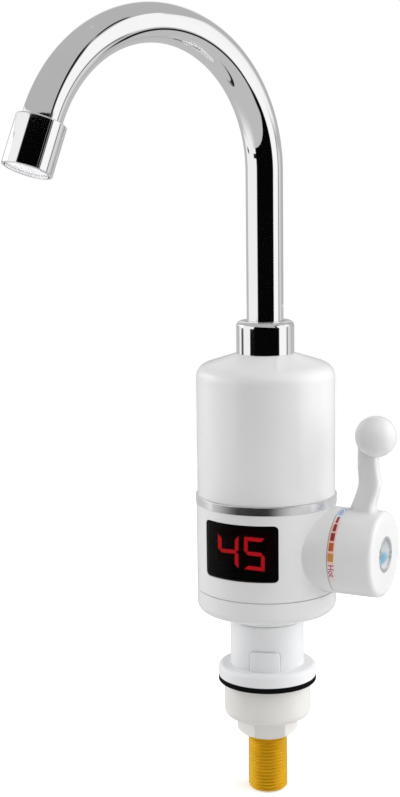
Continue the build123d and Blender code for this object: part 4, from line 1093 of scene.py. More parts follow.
# Sub-assemblies
@dataclass
class Spout:
    """The chromed gooseneck, with the aerator on its tip."""

    bench: Bench
    radius: float = 9.5
    wall: float = 1.0
    foot: float = 188.4
    middle_ring: float = 230.0
    straight_top: float = 268.5
    bend: float = 72.0
    sweep: float = 157.5
    tip: float = 7.0
    turn: float = -22.0
    bend_steps: int = 110
    round_steps: int = 128
    sleeve_fit: float = 0.05
    sleeve_radius: float = 12.0
    sleeve_bore: float = 10.6
    sleeve_start: float = 0.9
    sleeve_end: float = 24.9
    insert_start: float = 9.0
    insert_end: float = 23.5
    rim_gap: float = 0.45
    cell_pitch: float = 2.1
    cell_radius: float = 0.8
    cell_depth: float = 1.6
    cell_margin: float = 1.5
    cell_count: int = 9

    def __post_init__(self) -> None:
        """Work out the way the spout points, and the place of its tip."""
        turn, sweep = math.radians(self.turn), math.radians(self.sweep)
        self.way = Vector((math.sin(turn), -math.cos(turn), 0.0))
        self.side = self.way.cross(Vector((0, 0, 1)))
        self.tip_way = self.way * math.sin(sweep) + Vector((0, 0, math.cos(sweep)))
        self.bend_end = self.on_bend(sweep)
        self.tip_frame = facing(self.tip_way, self.side, self.bend_end)

    def on_bend(self, angle: float) -> Vector:
        """Give the point of the bend's centre line at an angle from its start."""
        return (self.way * self.bend * (1 - math.cos(angle))
                + Vector((0, 0, self.straight_top + self.bend * math.sin(angle))))

    def gooseneck(self) -> None:
        """Build the bent tube, open at both ends."""
        sweep, steps = math.radians(self.sweep), self.bend_steps
        line = [(Vector((0, 0, self.foot)), 0.0), (Vector((0, 0, self.middle_ring)), 0.0)]
        line += [(self.on_bend(sweep * k / steps), sweep * k / steps) for k in range(steps + 1)]
        line.append((self.bend_end + self.tip_way * self.tip, sweep))
        rings = []
        for reach, order in ((self.radius, 1), (self.radius - self.wall, -1)):
            for middle, angle in line[::order]:
                up = self.way * math.sin(angle) + Vector((0, 0, math.cos(angle)))
                out = up.cross(self.side)
                rings.append([middle + reach * (self.side * math.cos(a) + out * math.sin(a))
                              for a in turns(self.round_steps)])
        self.bench.make("gooseneck", skin(rings, closed=True), CHROME, "spout", "spout_tube")

    def aerator(self) -> None:
        """Build the sleeve on the tip and the honeycomb inside it."""
        fit = self.radius + self.sleeve_fit
        sleeve = [(fit, self.sleeve_start), (self.sleeve_radius, self.sleeve_start, 0.8),
                  (self.sleeve_radius, self.sleeve_end, 0.6),
                  (self.sleeve_bore, self.sleeve_end, 0.25), (self.sleeve_bore, self.tip),
                  (fit, self.tip)]
        self.bench.make("aerator_sleeve", lathe(sleeve, 160, 14), CHROME, "spout",
                        "aerator_housing", place=self.tip_frame)
        reach = self.sleeve_bore - self.rim_gap
        disc = lathe(tube(0, reach, self.insert_start, self.insert_end, upper=0.3), 96)
        piece = self.bench.solid("aerator_honeycomb", disc)
        rise, count = self.cell_pitch * math.sqrt(3) / 2, self.cell_count
        middles = [(self.cell_pitch * (i + j / 2), rise * j)
                   for i in range(-count, count + 1) for j in range(-count, count + 1)]
        cell = skin([ring(self.cell_radius, z, 6) for z in (0.0, self.cell_depth + 1.0)])
        cells = repeated(cell, [
            Matrix.Translation((x, y, self.insert_end - self.cell_depth))
            for x, y in middles if math.hypot(x, y) < reach - self.cell_margin])
        self.bench.join(piece, CUT, cells)
        piece.data.transform(self.tip_frame)
        # The honeycomb's faint white glow is painted light.
        self.bench.finish(piece, AERATOR_GREY_PAINTED_GLOW, "spout", "aerator_insert", slot="grey_plastic")

    def build(self) -> None:
        """Build the whole spout."""
        self.gooseneck()
        self.aerator()


@dataclass
class Collar:
    """The chromed nut that holds the spout on the shoulder."""

    bench: Bench
    radius: float = 15.0
    bore: float = 13.05
    lip_bore: float = 9.8
    seat: float = 175.5
    lip_floor: float = 189.6
    top: float = 192.4
    rounding: float = 2.9

    def build(self) -> None:
        """Build the nut."""
        nut = lathe([(self.bore, self.seat), (self.radius, self.seat, 0.3),
                     (self.radius, self.top, self.rounding), (self.lip_bore, self.top, 0.25),
                     (self.lip_bore, self.lip_floor), (self.bore, self.lip_floor)], 192, 16)
        self.bench.make("collar", nut, CHROME, "body", "collar_nut")


@dataclass
class UpperHousing:
    """The tall white shell and the silver band under it."""

    bench: Bench
    radius: float = 36.0
    inner: float = 33.8
    bottom: float = 101.85
    corner: float = 168.68
    rounding: float = 7.5
    collar_radius: float = 15.0
    seat: float = 175.5
    stub_hole: float = 13.15
    inner_seat: float = 173.1
    band_radius: float = 36.9
    band_inner: float = 33.75
    band_bottom: float = 97.25
    slope: float = 18.0

    def shell(self) -> None:
        """Build the shell with its sloping shoulder."""
        slope = math.tan(math.radians(self.slope))
        inner_corner = self.inner_seat - (self.inner - self.collar_radius - 1) * slope
        profile = [(self.inner, self.bottom), (self.radius, self.bottom, 0.2),
                   (self.radius, self.corner, self.rounding),
                   (self.collar_radius, self.seat), (self.stub_hole, self.seat),
                   (self.stub_hole, self.inner_seat), (self.collar_radius + 1, self.inner_seat),
                   (self.inner - 8.5, inner_corner + 8.5 * slope),
                   (self.inner - 2.5, inner_corner - 3.0), (self.inner, inner_corner - 9.0)]
        self.bench.make("upper_shell", lathe(profile, 256), WHITE_PLASTIC, "body",
                        "upper_housing", edge=24)

    def band(self) -> None:
        """Build the silver band."""
        profile = tube(self.band_inner, self.band_radius, self.band_bottom, self.bottom, 0.35,
                       0.35)
        self.bench.make("trim_band", lathe(profile, 256, 12), SILVER, "body", "trim_ring")

    def build(self) -> None:
        """Build the shell and the band."""
        self.shell()
        self.band()


@dataclass
class LowerHousing:
    """The shell that carries the display, the valve's boss and the cord entry."""

    bench: Bench
    radius: float = 36.6
    inner: float = 34.2
    bottom: float = 51.95
    lip_bottom: float = 49.4
    lip_radius: float = 35.4
    top: float = 97.25
    spigot_radius: float = 33.6
    spigot_inner: float = 31.6
    spigot_top: float = 105.0
    spigot_floor: float = 95.25
    boss_radius: float = 22.2
    boss_bore: float = 19.6
    boss_end: float = 42.7
    boss_cavity: float = 20.0
    boss_blend: float = 0.40
    pad_radius: float = 8.8
    pad_face: float = 37.4
    entry_hole: float = 5.5
    through: Place = (10.0, 50.0)
    pad_root: float = 20.0
    window: Place = (40.6, 29.6)
    window_height: float = 77.5
    window_corner: float = 2.4
    blend_steps: int = 10
    least_blend: float = 0.03
    sink: float = 0.02
    round_steps: int = 192

    def boss(self) -> Drawn:
        """Draw the round boss with a soft foot on the shell.

        Returns:
            The boss, drawn round its own axis.
        """
        angles = turns(self.round_steps)
        soft = [self.least_blend + self.boss_blend * (1 - abs(math.cos(a))**8) for a in angles]

        def around(share: float, lift: float) -> list[Vector]:
            """Give one ring of the soft foot.

            Args:
                share: How far it spreads, as a share of the blend.
                lift: How far it has risen, as a share of the blend.

            Returns:
                The ring's points.
            """
            points = []
            for angle, blend in zip(angles, soft):
                reach = self.boss_radius + blend * share
                level = math.sqrt(self.radius**2 - (reach * math.sin(angle))**2)
                points.append(Vector((reach * math.cos(angle), reach * math.sin(angle),
                                      level + blend * lift)))
            return points

        foot, low = around(1.0, 0.0), self.through[0]
        rings = [ring(0, low, 1), [Vector((p.x, p.y, low)) for p in foot],
                 [p - Vector((0, 0, self.sink)) for p in foot]]
        rings += [around(*shares) for shares in soft_foot(self.blend_steps)]
        rim = rounded(tube(0, self.boss_radius, 0, self.boss_end, upper=0.5))
        rings += [ring(p.x, p.y, self.round_steps) for p in rim[2:]]
        return skin(rings)

    def build(self) -> None:
        """Build the shell, fuse what stands on it and cut its openings."""
        outside = [(0, self.lip_bottom), (self.lip_radius, self.lip_bottom),
                   (self.lip_radius, self.bottom), (self.radius, self.bottom, 0.2),
                   (self.radius, self.top, 0.15), (self.spigot_radius, self.top),
                   (self.spigot_radius, self.spigot_top), (0, self.spigot_top)]
        inside = [(0, self.lip_bottom - 1), (self.inner, self.lip_bottom - 1),
                  (self.inner, self.spigot_floor), (self.spigot_inner, self.spigot_floor),
                  (self.spigot_inner, self.spigot_top + 1), (0, self.spigot_top + 1)]
        pad = tube(0, self.pad_radius, self.pad_root, self.pad_face, upper=0.4)
        bore = tube(0, self.boss_bore, self.boss_cavity, self.boss_end + 1)
        opening = block(*self.window, self.window_corner, (0.0, self.window_height))
        self.bench.make("lower_shell", lathe(outside, 256), WHITE_PLASTIC, "body",
                        "lower_housing", edge=24, joins=(
                            (FUSE, self.boss(), VALVE), (FUSE, lathe(pad, 96), BACK),
                            (CUT, lathe(inside, 192)), (CUT, lathe(bore, 160), VALVE),
                            (CUT, prism(opening, *self.through), FRONT),
                            (CUT, prism(ring(self.entry_hole, 0, 96), *self.through), BACK)))


@dataclass
class BottomCap:
    """The bowl under the body, its three screws, and the cord's grommet."""

    bench: Bench
    radius: float = 36.7
    inner: float = 34.3
    neck_radius: float = 19.5
    bore: float = 16.7
    foot: float = 34.1
    floor: float = 36.4
    seam: float = 51.65
    lip_floor: float = 49.3
    slope: float = 22.0
    rounding: float = 5.0
    screw_circle: float = 27.5
    screw_angles: tuple[float, float, float] = (100.0, 220.0, 340.0)
    lip: float = 1.2
    screw_seat: float = 42.0
    post_radius: float = 5.0
    post_top: float = 48.8
    head_radius: float = 3.2
    head_height: float = 2.4
    screw_radius: float = 1.5
    screw_length: float = 14.0
    head_room: float = 0.4
    hollow_start: float = 30.0
    thread_room: float = 0.3
    recess: tuple[float, float, float] = (3.6, 0.8, 1.4)
    grommet_shape: Corners = (
        (3.75, 31.2), (6.7, 31.2, 0.3), (6.7, 33.4), (5.35, 33.4), (5.35, 37.4), (8.0, 37.4),
        (8.0, 39.6, 0.8), (6.4, 39.6, 0.1), (6.1, 39.1), (5.8, 39.6, 0.1), (4.4, 39.6, 0.3),
        (3.75, 38.9))

    def __post_init__(self) -> None:
        """Work out where the screws stand."""
        out = Matrix.Translation((self.screw_circle, 0, 0))
        self.posts = [Matrix.Rotation(math.radians(angle), 4, "Z") @ out
                      for angle in self.screw_angles]

    def cap(self) -> None:
        """Build the bowl with its screw posts and their recesses."""
        rise = math.tan(math.radians(self.slope))
        profile = [(self.bore, self.foot), (self.neck_radius, self.foot, 0.1),
                   (self.radius, self.foot + (self.radius - self.neck_radius) * rise,
                    self.rounding),
                   (self.radius, self.seam, 0.15), (self.inner + self.lip, self.seam),
                   (self.inner + self.lip, self.lip_floor), (self.inner, self.lip_floor),
                   (self.inner, self.floor + (self.inner - self.neck_radius) * rise),
                   (self.neck_radius, self.floor), (self.bore, self.floor)]
        post = prism(ring(self.post_radius, 0, 48), self.screw_seat - 1.5, self.post_top)
        head, thread = self.head_radius + self.head_room, self.screw_radius + self.thread_room
        hollow = lathe([(0, self.hollow_start), (head, self.hollow_start), (head, self.screw_seat),
                        (thread, self.screw_seat), (thread, self.post_top + 1),
                        (0, self.post_top + 1)], 64)
        self.bench.make("bottom_bowl", lathe(profile, 256), WHITE_PLASTIC, "body", "bottom_cap",
                        edge=24, joins=((FUSE, repeated(post, self.posts)),
                                        (CUT, repeated(hollow, self.posts))))

    def screws(self) -> None:
        """Build the screws with cross recesses in their heads."""
        low = self.screw_seat - self.head_height
        screw = lathe([(0, low), (self.head_radius, low, 0.9), (self.head_radius, self.screw_seat),
                       (self.screw_radius, self.screw_seat),
                       (self.screw_radius, self.screw_seat + self.screw_length, 0.5),
                       (0, self.screw_seat + self.screw_length)], 64)
        long, short, deep = self.recess
        slits = [(CUT, repeated(prism(block(*sides), low - 1, low + deep), self.posts))
                 for sides in ((long, short), (short, long))]
        self.bench.make("cap_screw_set", repeated(screw, self.posts), SCREW_STEEL, "body",
                        "cap_screws", joins=slits)

    def grommet(self) -> None:
        """Build the rubber grommet in the cord entry."""
        self.bench.make("entry_grommet", lathe(self.grommet_shape, 96), RUBBER, "body",
                        "cord_grommet", place=BACK)

    def build(self) -> None:
        """Build the bowl, the screws and the grommet."""
        self.cap()
        self.screws()
        self.grommet()


class Segment(Enum):
    """The bars of one digit, each with its ends: 0 or 1 across, and 0 to 2 upwards."""

    TOP = ((0, 2), (1, 2))
    MIDDLE = ((0, 1), (1, 1))
    BOTTOM = ((0, 0), (1, 0))
    UPPER_LEFT = ((0, 1), (0, 2))
    UPPER_RIGHT = ((1, 1), (1, 2))
    LOWER_LEFT = ((0, 0), (0, 1))
    LOWER_RIGHT = ((1, 0), (1, 1))


FOUR = {Segment.UPPER_LEFT, Segment.UPPER_RIGHT, Segment.MIDDLE, Segment.LOWER_RIGHT}
FIVE = {Segment.TOP, Segment.UPPER_LEFT, Segment.MIDDLE, Segment.LOWER_RIGHT, Segment.BOTTOM}


@dataclass
class Display:
    """The smoked window and the two-digit readout behind it."""

    bench: Bench
    lens: Place = (40.3, 29.3)
    lens_corner: float = 2.4
    lens_outer: float = 36.3
    lens_inner: float = 33.8
    height: float = 77.5
    module: Place = (30.0, 19.5)
    module_back: float = 24.05
    module_front: float = 30.446
    digit: Place = (11.4, 17.0)
    spread: float = 14.7
    shift: float = -0.5
    shift: float = -0.5
    window_reach: float = 20.0
    through: Place = (10.0, 50.0)
    sink: float = 0.05
    bevel: float = 0.4
    stroke: float = 1.9
    gap: float = 0.2
    slant: float = 0.8
    drop: float = 1.0
    relief: float = 0.35
    halo: float = 1.1

    def window(self) -> None:
        """Build the window, curved like the shell."""
        low, high = self.height - self.window_reach, self.height + self.window_reach
        wall = lathe(tube(self.lens_inner, self.lens_outer, low, high), 256)
        outline = block(*self.lens, self.lens_corner, (0.0, self.height))
        self.bench.make("window_lens", wall, WINDOW_BLACK, "body", "display_lens",
                        joins=((SHARE, prism(outline, *self.through), FRONT),))

    def bar(self, segment: Segment, across: float, stroke: float) -> list[Vector]:
        """Draw one bar of a digit, mitred at the digit's corners and pointed at its middle.

        Args:
            segment: Which bar.
            across: Where the digit's middle lies.
            stroke: How wide the bar is.

        Returns:
            The bar's outline.
        """
        wide, high = self.digit[0] - self.stroke, self.digit[1] - self.stroke
        ends = [Vector(((end[0] - 0.5) * wide, (end[1] / 2 - 0.5) * high))
                for end in segment.value]
        along, half = (ends[1] - ends[0]).normalized(), stroke / 2
        out = Vector((-along.y, along.x)) * half
        if out.dot(ends[0] + ends[1]) < 0:
            out = -out

        def tip(number: int, away: Vector) -> list[Vector]:
            """Give the points of one end of the bar.

            Args:
                number: Which end.
                away: The way that end points.

            Returns:
                The points, from the inner side outwards.
            """
            end, inner = ends[number], ends[number] - out - away * (half + self.gap)
            if segment is Segment.MIDDLE or segment.value[number][1] == 1:
                return [inner, end - away * self.gap, inner + 2 * out]
            return [inner, end + out + away * (half - self.gap)]

        lean = math.tan(math.radians(self.slant))
        return [Vector((p.x + p.y * lean + across, p.y + self.height - self.drop))
                for p in tip(0, -along) + tip(1, along)[::-1]]

    def digits(self, name: str, finish: Finish, lit: bool, stroke: float, rise: float) -> None:
        """Build the lit or the unlit bars of both digits.

        Args:
            name: The piece's name.
            finish: The finish of the bars.
            lit: Whether these are the lit bars.
            stroke: How wide the bars are.
            rise: How far they stand out of the module.
        """
        low, high = self.module_front - self.sink, self.module_front + rise
        bars = [prism(self.bar(segment, self.shift + side * self.spread, stroke), low, high)
                for side, shown in ((-0.5, FOUR), (0.5, FIVE))
                for segment in Segment if (segment in shown) is lit]
        self.bench.make(name, merged(bars), finish, "body", place=FRONT, slot="black_plastic")

    def build(self) -> None:
        """Build the window, the module and its bars."""
        self.window()
        middle, bevel = (0.0, self.height), self.bevel
        face = block(*self.module, 0.6, middle)
        inset = block(self.module[0] - 2 * bevel, self.module[1] - 2 * bevel, 0.5, middle)
        levels = ((face, self.module_back), (face, self.module_front - bevel),
                  (inset, self.module_front))
        module = skin([[Vector((p.x, p.y, z)) for p in outline] for outline, z in levels])
        # The module's face carries painted red glow from the lit bars.
        self.bench.make("readout_module", module, MODULE_FACE_PAINTED_GLOW, "body", "digit_module",
                        place=FRONT, slot="black_plastic")
        self.digits("lit_bars", LIT_RED, True, self.stroke, self.relief)
        # Slightly wider, dim red bars under the lit ones: painted glow round them.
        self.digits("bar_halos", HALO_PAINTED_GLOW, True, self.stroke + self.halo, self.relief * 0.2)
        self.digits("unlit_bars", UNLIT_RED, False, self.stroke, self.relief * 0.4)


@dataclass
class Handle:
    """The knob with its curved stem and ball, the button in its face and the scale round it."""

    bench: Bench
    radius: float = 22.2
    start: float = 43.0
    end: float = 66.3
    rounding: float = 2.7
    inner: float = 20.0
    inner_face: float = 60.0
    hub: float = 8.0
    hub_start: float = 45.0
    face_bore: float = 9.3
    spindle_bores: Corners = ((4.55, 45.0), (4.55, 58.0), (2.2, 58.0), (2.2, 60.2), (4.0, 60.2))
    ring_radii: Place = (7.6, 9.2)
    ring_face: float = 66.6
    lens_radius: float = 7.55
    lens_dome: float = 30.0
    lens_top: float = 66.7
    lens_steps: int = 16
    index_floor: float = 62.8
    ball_radius: float = 10.5
    ball_along: float = 60.8
    ball_rise: float = 60.8
    foot_blend: float = 1.6
    stem: tuple[tuple[float, float, float, float], ...] = (
        (17.2, 54.0, 8.0, 7.2), (23.8, 54.4, 6.2, 5.4), (35.7, 57.7, 5.7, 3.9),
        (45.2, 57.0, 5.3, 3.8), (57.2, 56.5, 4.7, 3.9))
    stem_square: float = 0.52
    stem_root: float = 16.0
    stem_first: float = 0.7
    stem_rings: int = 34
    stem_steps: int = 96
    sink: float = 0.02
    foot_steps: int = 8
    ball_steps: int = 72
    strip_start: float = 43.2
    strip_width: float = 3.6
    strip_thickness: float = 0.2
    strip_ends: Place = (-5.0, 123.0)
    bars: tuple[tuple[float, float, Finish], ...] = (
        (32.6, 0.36, BAR_RED), (45.6, 0.48, BAR_RED), (58.8, 0.60, BAR_RED),
        (72.2, 0.68, BAR_RUST), (85.8, 0.82, BAR_AMBER))
    bar_width: float = 10.8
    words: tuple[tuple[str, float, float, float, Finish], ...] = (
        ("Cold", 13.5, 3.7, 0.02, WORD_BLUE), ("Hot", 104.5, 4.4, 0.06, WORD_RED))
    word_thickness: float = 0.08

    def skirted_stem(self) -> Drawn:
        """Draw the stem with a small soft foot on the knob.

        Returns:
            The stem, drawn upwards from the valve's axis.
        """
        def squared(part: float) -> float:
            """Push a sine or cosine towards its ends, so that an oval grows squarer."""
            return math.copysign(abs(part)**self.stem_square, part)

        def oval(rise: float, spread: float = 0.0) -> list[Vector]:
            """Give the stem's outline at a height above the axis, grown by a spread."""
            along, half_along, half_across = between(self.stem, rise)
            return [Vector((along + (half_along + spread) * squared(math.cos(a)),
                            (half_across + spread) * squared(math.sin(a)), rise))
                    for a in turns(self.stem_steps)]

        def lifted(point: Vector, lift: float) -> Vector:
            """Bring a point to the knob's surface.

            Args:
                point: The point.
                lift: How far above the surface it ends.

            Returns:
                The point's new place.
            """
            past = max(point.x - (self.end - self.rounding), 0.0)
            reach = self.radius - self.rounding + math.sqrt(self.rounding**2 - past**2)
            return Vector((point.x, point.y, math.sqrt(reach**2 - point.y**2) + lift))

        base = self.radius + self.foot_blend
        wide = oval(base, self.foot_blend)
        rings = [[Vector((p.x, p.y, self.stem_root)) for p in wide],
                 [lifted(p, -self.sink) for p in wide]]
        for spread, lift in soft_foot(self.foot_steps):
            rings.append([lifted(p, self.foot_blend * lift)
                          for p in oval(base, self.foot_blend * spread)])
        rings += [oval(base + self.stem_first + k) for k in range(self.stem_rings)]
        return skin(rings)

    def knob(self) -> None:
        """Build the knob, fuse the stem and the ball, and hollow it from behind."""
        arcs = (math.pi * k / self.ball_steps for k in range(self.ball_steps + 1))
        globe = [(self.ball_radius * math.sin(a), -self.ball_radius * math.cos(a)) for a in arcs]
        ball = skin([ring(reach, height, 128) for reach, height in globe])
        hollow = lathe([(0, self.start - 1), (self.inner, self.start - 1),
                        (self.inner, self.inner_face), (self.hub, self.inner_face),
                        (self.hub, self.hub_start), *self.spindle_bores,
                        (4.0, self.index_floor), (self.face_bore, self.index_floor),
                        (self.face_bore, self.end + 1), (0, self.end + 1)], 128)
        solid = lathe(tube(0, self.radius, self.start, self.end, 0.5, self.rounding), 192, 10)
        top = VALVE_HEIGHT + self.ball_rise
        self.bench.make("knob_and_lever", solid, WHITE_PLASTIC, "handle", "valve_handle",
                        place=VALVE, edge=28, joins=(
                            (FUSE, self.skirted_stem(), Matrix.Translation((0, 0, VALVE_HEIGHT))),
                            (FUSE, ball, Matrix.Translation((self.ball_along, 0, top))),
                            (CUT, hollow, VALVE)))

    def button(self) -> None:
        """Build the chromed ring and the domed lens in the knob's face."""
        inner, outer = self.ring_radii
        rim = lathe([(inner, self.index_floor), (outer, self.index_floor),
                     (outer, self.ring_face, 0.5), (inner, self.ring_face, 0.6)], 128, 14)
        self.bench.make("button_ring", rim, RING_CHROME, "handle", "index_ring", place=VALVE,
                        slot="bright_chrome")
        reaches = [self.lens_radius * k / self.lens_steps for k in range(self.lens_steps, -1, -1)]
        dome = [(reach, math.sqrt(self.lens_dome**2 - reach**2) + self.lens_top - self.lens_dome)
                for reach in reaches]
        lens = lathe([(0, self.index_floor), (self.lens_radius, self.index_floor), *dome], 96)
        self.bench.make("button_lens", lens, LENS_GLASS, "handle", "index_lens", place=VALVE,
                        edge=40)

    def mark(self, name: str, flat: Drawn, finish: Finish, *nodes: str) -> None:
        """Bend a flat mark round the knob and put it there.

        Args:
            name: The piece's name.
            flat: The mark, with its X running from the scale's cold end to its hot end.
            finish: Its finish.
            nodes: The frame's nodes that it stands for.
        """
        self.bench.make(name, wrapped(flat, self.radius), finish, "handle", *nodes, place=VALVE,
                        slot="scale_print", edge=50)

    def scale(self) -> None:
        """Build the scale's strip, its bars and its two words."""
        degree = self.radius * DEGREE
        low, high = (end * degree for end in self.strip_ends)
        middle = self.strip_start + self.strip_width / 2
        strip = prism(block(high - low, self.strip_width, 0.5, ((low + high) / 2, middle)),
                      -0.05, self.strip_thickness)
        self.mark("scale_base", strip, SCALE_PRINT, "scale_strip")
        for number, (degrees, share, finish) in enumerate(self.bars, 1):
            outline = block(self.bar_width * degree, self.strip_width * share, 0.15,
                            (degrees * degree, middle))
            self.mark(f"scale_bar_{number}", prism(outline, 0.1, self.strip_thickness + 0.06),
                      finish)
        for words, degrees, size, weight, finish in self.words:
            flat = lettered(words, size, self.word_thickness, weight)
            flat.transform(Matrix.Translation((degrees * degree, middle, 0.18)))
            self.mark("scale_" + words.lower(), flat, finish)

    def build(self) -> None:
        """Build the knob, the button and the scale."""
        self.knob()
        self.button()
        self.scale()


@dataclass
class Foot:
    """The neck with its flange and arched pad, and the rubber seal under it."""

    bench: Bench
    bore: float = 10.878
    core: float = 13.08
    hollow: float = 17.1
    radius: float = 19.5
    joint: float = 33.9
    spigot: float = 16.5
    top: float = 36.4
    plug: float = 19.8
    plug_bottom: float = 0.8
    flange_radius: float = 25.8
    flange_bottom: float = 3.0
    flange_top: float = 9.8
    flange_rounding: float = 2.4
    roof: float = 30.0
    rib: float = 1.6
    ribs: int = 6
    arch: Place = (-3.6, 43.3)
    arch_rise: float = 10.8
    arch_relief: float = 1.0
    arch_rounding: float = 0.7
    groove_width: float = 0.6
    groove_depth: float = 0.6
    groove_reach: float = 2.0
    groove_start: float = 0.1
    arch_corner: float = 3.0
    arch_root: float = 1.0
    rib_steps: int = 6
    seal_shape: Corners = ((20.0, 0.6), (23.3, 0.6, 0.1), (23.3, 0.0, 0.15), (26.0, 0.0, 1.1),
                           (26.0, 3.0, 1.1), (20.0, 3.0))

    def arch_outline(self, grown: float, start: float) -> list[Vector]:
        """Draw the arch's outline flat.

        Args:
            grown: How far it is grown sideways and upwards.
            start: Where it starts above the flange.

        Returns:
            The outline's points.
        """
        degree, corner = DEGREE * self.radius, self.arch_corner + grown / 2
        left, right = self.arch[0] * degree - grown, self.arch[1] * degree + grown
        low, high = self.flange_top + start, self.flange_top + self.arch_rise + grown
        return rounded([(left, low), (right, low), (right, high, corner), (left, high, corner)])

    def arch_pad(self) -> Drawn:
        """Draw the arched pad, bent round the neck and softened along its edge.

        Returns:
            The pad, drawn from the front towards the handle's side.
        """
        pad = prism(self.arch_outline(0.0, -self.arch_root), -self.arch_root, self.arch_relief)
        edges = [edge for edge in pad.edges
                 if all(v.co.z > self.arch_relief - 0.01 for v in edge.verts)]
        bmesh.ops.bevel(pad, geom=edges, offset=self.arch_rounding, segments=5, profile=0.5,
                        affect="EDGES")
        return wrapped(pad, self.radius)

    def arch_groove(self) -> Drawn:
        """Draw the fine groove that runs round the arched pad."""
        outline = self.arch_outline(self.groove_width, self.groove_start)
        return wrapped(prism(outline, -self.groove_depth, self.groove_reach), self.radius)

    def cavity(self) -> Drawn:
        """Draw one of the hollows between the neck's ribs.

        Returns:
            The hollow, as a solid to cut away.
        """
        points, steps = [], self.rib_steps
        for reach, order in ((self.core, 1), (self.hollow, -1)):
            edge = math.pi / self.ribs - math.asin(self.rib / 2 / reach)
            angles = (edge * order * k / steps for k in range(-steps, steps + 1))
            points += [Vector((reach * math.cos(a), reach * math.sin(a))) for a in angles]
        return prism(points, -1.0, self.roof)

    def neck(self) -> None:
        """Build the neck with its flange."""
        profile = [(self.bore, self.plug_bottom), (self.plug, self.plug_bottom, 0.2),
                   (self.plug, self.flange_bottom), (self.flange_radius, self.flange_bottom, 0.3),
                   (self.flange_radius, self.flange_top, self.flange_rounding),
                   (self.radius, self.flange_top, 0.35), (self.radius, self.joint, 0.15),
                   (self.spigot, self.joint), (self.spigot, self.top), (self.bore, self.top)]
        half_turn = math.pi / self.ribs
        places = [Matrix.Rotation(half_turn * (2 * k + 1), 4, "Z") for k in range(self.ribs)]
        # The neck takes the lighter copy of the white plastic, which paints extra light on it.
        self.bench.make("neck_and_flange", lathe(profile, 256, 10), NECK_PLASTIC_PAINTED_LIGHT, "body", "neck",
                        slot="white_plastic", edge=28, joins=(
                            (CUT, self.arch_groove(), FROM_FRONT),
                            (FUSE, self.arch_pad(), FROM_FRONT),
                            (CUT, repeated(self.cavity(), places))))

    def seal(self) -> None:
        """Build the rubber seal."""
        self.bench.make("flange_seal", lathe(self.seal_shape, 192, 10), RUBBER, "body",
                        "deck_seal")

    def build(self) -> None:
        """Build the neck and the seal."""
        self.neck()
        self.seal()


@dataclass
class Clamp:
    """The cup and the hexagon nut that draw up under the worktop."""

    bench: Bench
    radius: float = 23.0
    wall: float = 2.6
    bore: float = 10.978
    top: float = -0.3
    bottom: float = -19.3
    floor: float = 3.0
    rounding: float = 4.0
    relief: float = 0.12
    relief_top: float = 2.7
    nut_bore: float = 10.578
    nut_chamfer: float = 0.6
    nut_flats: float = 28.0
    nut_turn: float = 29.0
    nut_top: float = -19.4
    nut_bottom: float = -29.3

    def cup(self) -> None:
        """Build the cup, with a fine groove under its rim."""
        inner, outer = self.radius - self.wall, self.radius - self.relief
        profile = [(self.bore, self.bottom, 0.3), (self.radius, self.bottom, self.rounding),
                   (self.radius, self.top - 3.0), (outer, self.top - self.relief_top),
                   (outer, self.top, 0.4), (inner, self.top, 0.3),
                   (inner, self.bottom + self.floor, 0.6), (self.bore, self.bottom + self.floor)]
        self.bench.make("clamp_bowl", lathe(profile, 192, 10), WARM_PLASTIC, "clamp",
                        "clamp_cup", edge=40)

    def nut(self) -> None:
        """Build the nut with its bevelled corners."""
        corner = self.nut_flats / 2 / math.cos(math.radians(30))
        low, high = self.nut_bottom, self.nut_top
        angles = (math.radians(self.nut_turn + 60 * k) for k in range(6))
        hexagon = rounded([(corner * math.cos(a), corner * math.sin(a), 0.7) for a in angles])
        turned = lathe([(0, low), (corner - 3.0, low, 0.8), (corner, low + 2.2, 0.5),
                        (corner, high - 0.8, 0.3), (corner - 1.2, high), (0, high)], 192)
        wide = self.nut_bore + self.nut_chamfer
        bore = lathe([(0, low - 1), (wide, low - 1), (wide, low),
                      (self.nut_bore, low + self.nut_chamfer), (self.nut_bore, high + 1),
                      (0, high + 1)], 128)
        self.bench.make("hexagon_nut", prism(hexagon, low, high), WARM_PLASTIC, "nut",
                        "fixing_nut", edge=24, joins=((SHARE, turned), (CUT, bore)))

    def build(self) -> None:
        """Build the cup and the nut."""
        self.cup()
        self.nut()


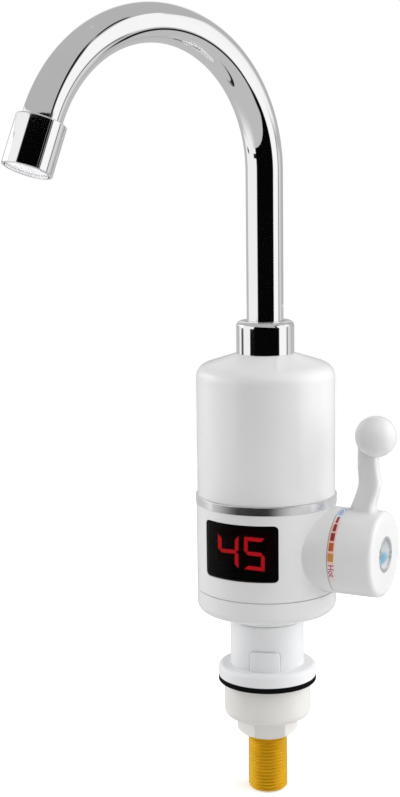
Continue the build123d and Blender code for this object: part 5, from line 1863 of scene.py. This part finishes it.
@dataclass
class Shank:
    """The brass inlet tube with its pipe thread."""

    bench: Bench
    radius: float = 10.4775
    bore: float = 6.5
    pitch: float = 25.4 / 14
    depth: float = 1.05
    bottom: float = -60.0
    groove: Place = (-31.3, -29.8)
    groove_depth: float = 0.9
    groove_depth: float = 0.9
    thread_top: float = -2.0
    thread_shape: float = 0.75
    thread_end: float = 2.0
    start_depth: float = 1.3
    steps: int = 112
    rows: int = 10
    inside: Corners = (
        (10.4775, 36.4), (18.5, 36.4), (18.5, 40.4), (8.9, 40.4), (8.9, 45.0), (7.4, 45.0),
        (7.4, 47.2), (8.9, 47.2), (8.9, 52.0), (6.5, 52.0), (6.5, -58.0), (7.1, -58.0),
        (7.1, -60.0))

    def reach(self, height: float, turn: float) -> float:
        """Give the thread's radius at one place.

        Args:
            height: The place's height.
            turn: Its share of a whole turn round the axis.

        Returns:
            The radius there.
        """
        if self.groove[0] < height < self.groove[1]:
            return self.radius - self.groove_depth
        part = (height / self.pitch - turn) % 1.0
        flank = abs(2 * part - 1)
        wave = 0.5 + 0.5 * math.cos(WHOLE_TURN * part)
        valley = self.thread_shape * flank + (1 - self.thread_shape) * wave
        fade = min(max((self.thread_top - height) / self.thread_end, 0.0), 1.0)
        taper = self.radius - self.start_depth + (height - self.bottom)
        return min(self.radius - self.depth * valley * fade, taper)

    def build(self) -> None:
        """Build the tube, its thread and its plug inside the body."""
        step = self.pitch / self.rows
        rings = []
        for row in range(int((self.thread_top - self.bottom) / step) + 1):
            height = self.bottom + row * self.pitch / self.rows
            shares = (k / self.steps for k in range(self.steps))
            rings.append([
                Vector((self.reach(height, t) * math.cos(WHOLE_TURN * t),
                        self.reach(height, t) * math.sin(WHOLE_TURN * t), height))
                for t in shares])
        rings += [ring(reach, height, self.steps) for reach, height in self.inside]
        self.bench.make("threaded_shank", skin(rings, closed=True), BRASS, "body",
                        "inlet_shank", edge=45)


@dataclass
class SwitchSpring:
    """The flow switch's spring."""

    bench: Bench
    seat: float = -18.0
    start: float = -17.6
    length: float = 2.6
    radius: float = 4.4
    wire: float = 0.35
    coils: int = 3
    turn_steps: int = 48
    wire_steps: int = 12
    kept: float = 0.39

    def build(self) -> None:
        """Wind the wire round the valve's axis."""
        steps = self.turn_steps * self.coils
        axis = Vector((1, 0, 0))
        rings = []
        for k in range(steps + 1):
            turn = WHOLE_TURN * k / self.turn_steps
            out = Vector((0, math.cos(turn), math.sin(turn)))
            middle = Vector((self.start + self.length * k / steps, 0, VALVE_HEIGHT))
            middle += out * self.radius
            rings.append([middle + (out * math.cos(a) + axis * math.sin(a)) * self.wire
                          for a in turns(self.wire_steps)])
        piece = self.bench.make("wound_spring", skin(rings), STAINLESS, "body", "switch_spring")
        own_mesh(piece)


@dataclass
class Innards:
    """The frame's own pieces that stay as they are and only get their finishes."""

    bench: Bench

    def build(self) -> None:
        """Dress every node that no finer piece stands for."""
        for name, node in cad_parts.items():
            if name in self.bench.replaced:
                continue
            slot = node.material_slots[0].material.name.split(".")[0]
            finish = SLOT_FINISHES[slot]
            self.bench.dresser.dress(node, finish)
            LOG.info("%s: %s, as in the frame", name, finish.name)


def main() -> None:
    """Build everything in order."""
    logging.basicConfig(level=logging.INFO, format="%(name)s: %(message)s")
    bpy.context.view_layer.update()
    bench = Bench(Dresser())
    Studio().build()
    for sub_assembly in (Spout, Collar, UpperHousing, LowerHousing, BottomCap, Display, Handle,
                         Foot, Clamp, Shank, SwitchSpring, Innards):
        sub_assembly(bench).build()


if __name__ == "__main__":
    main()
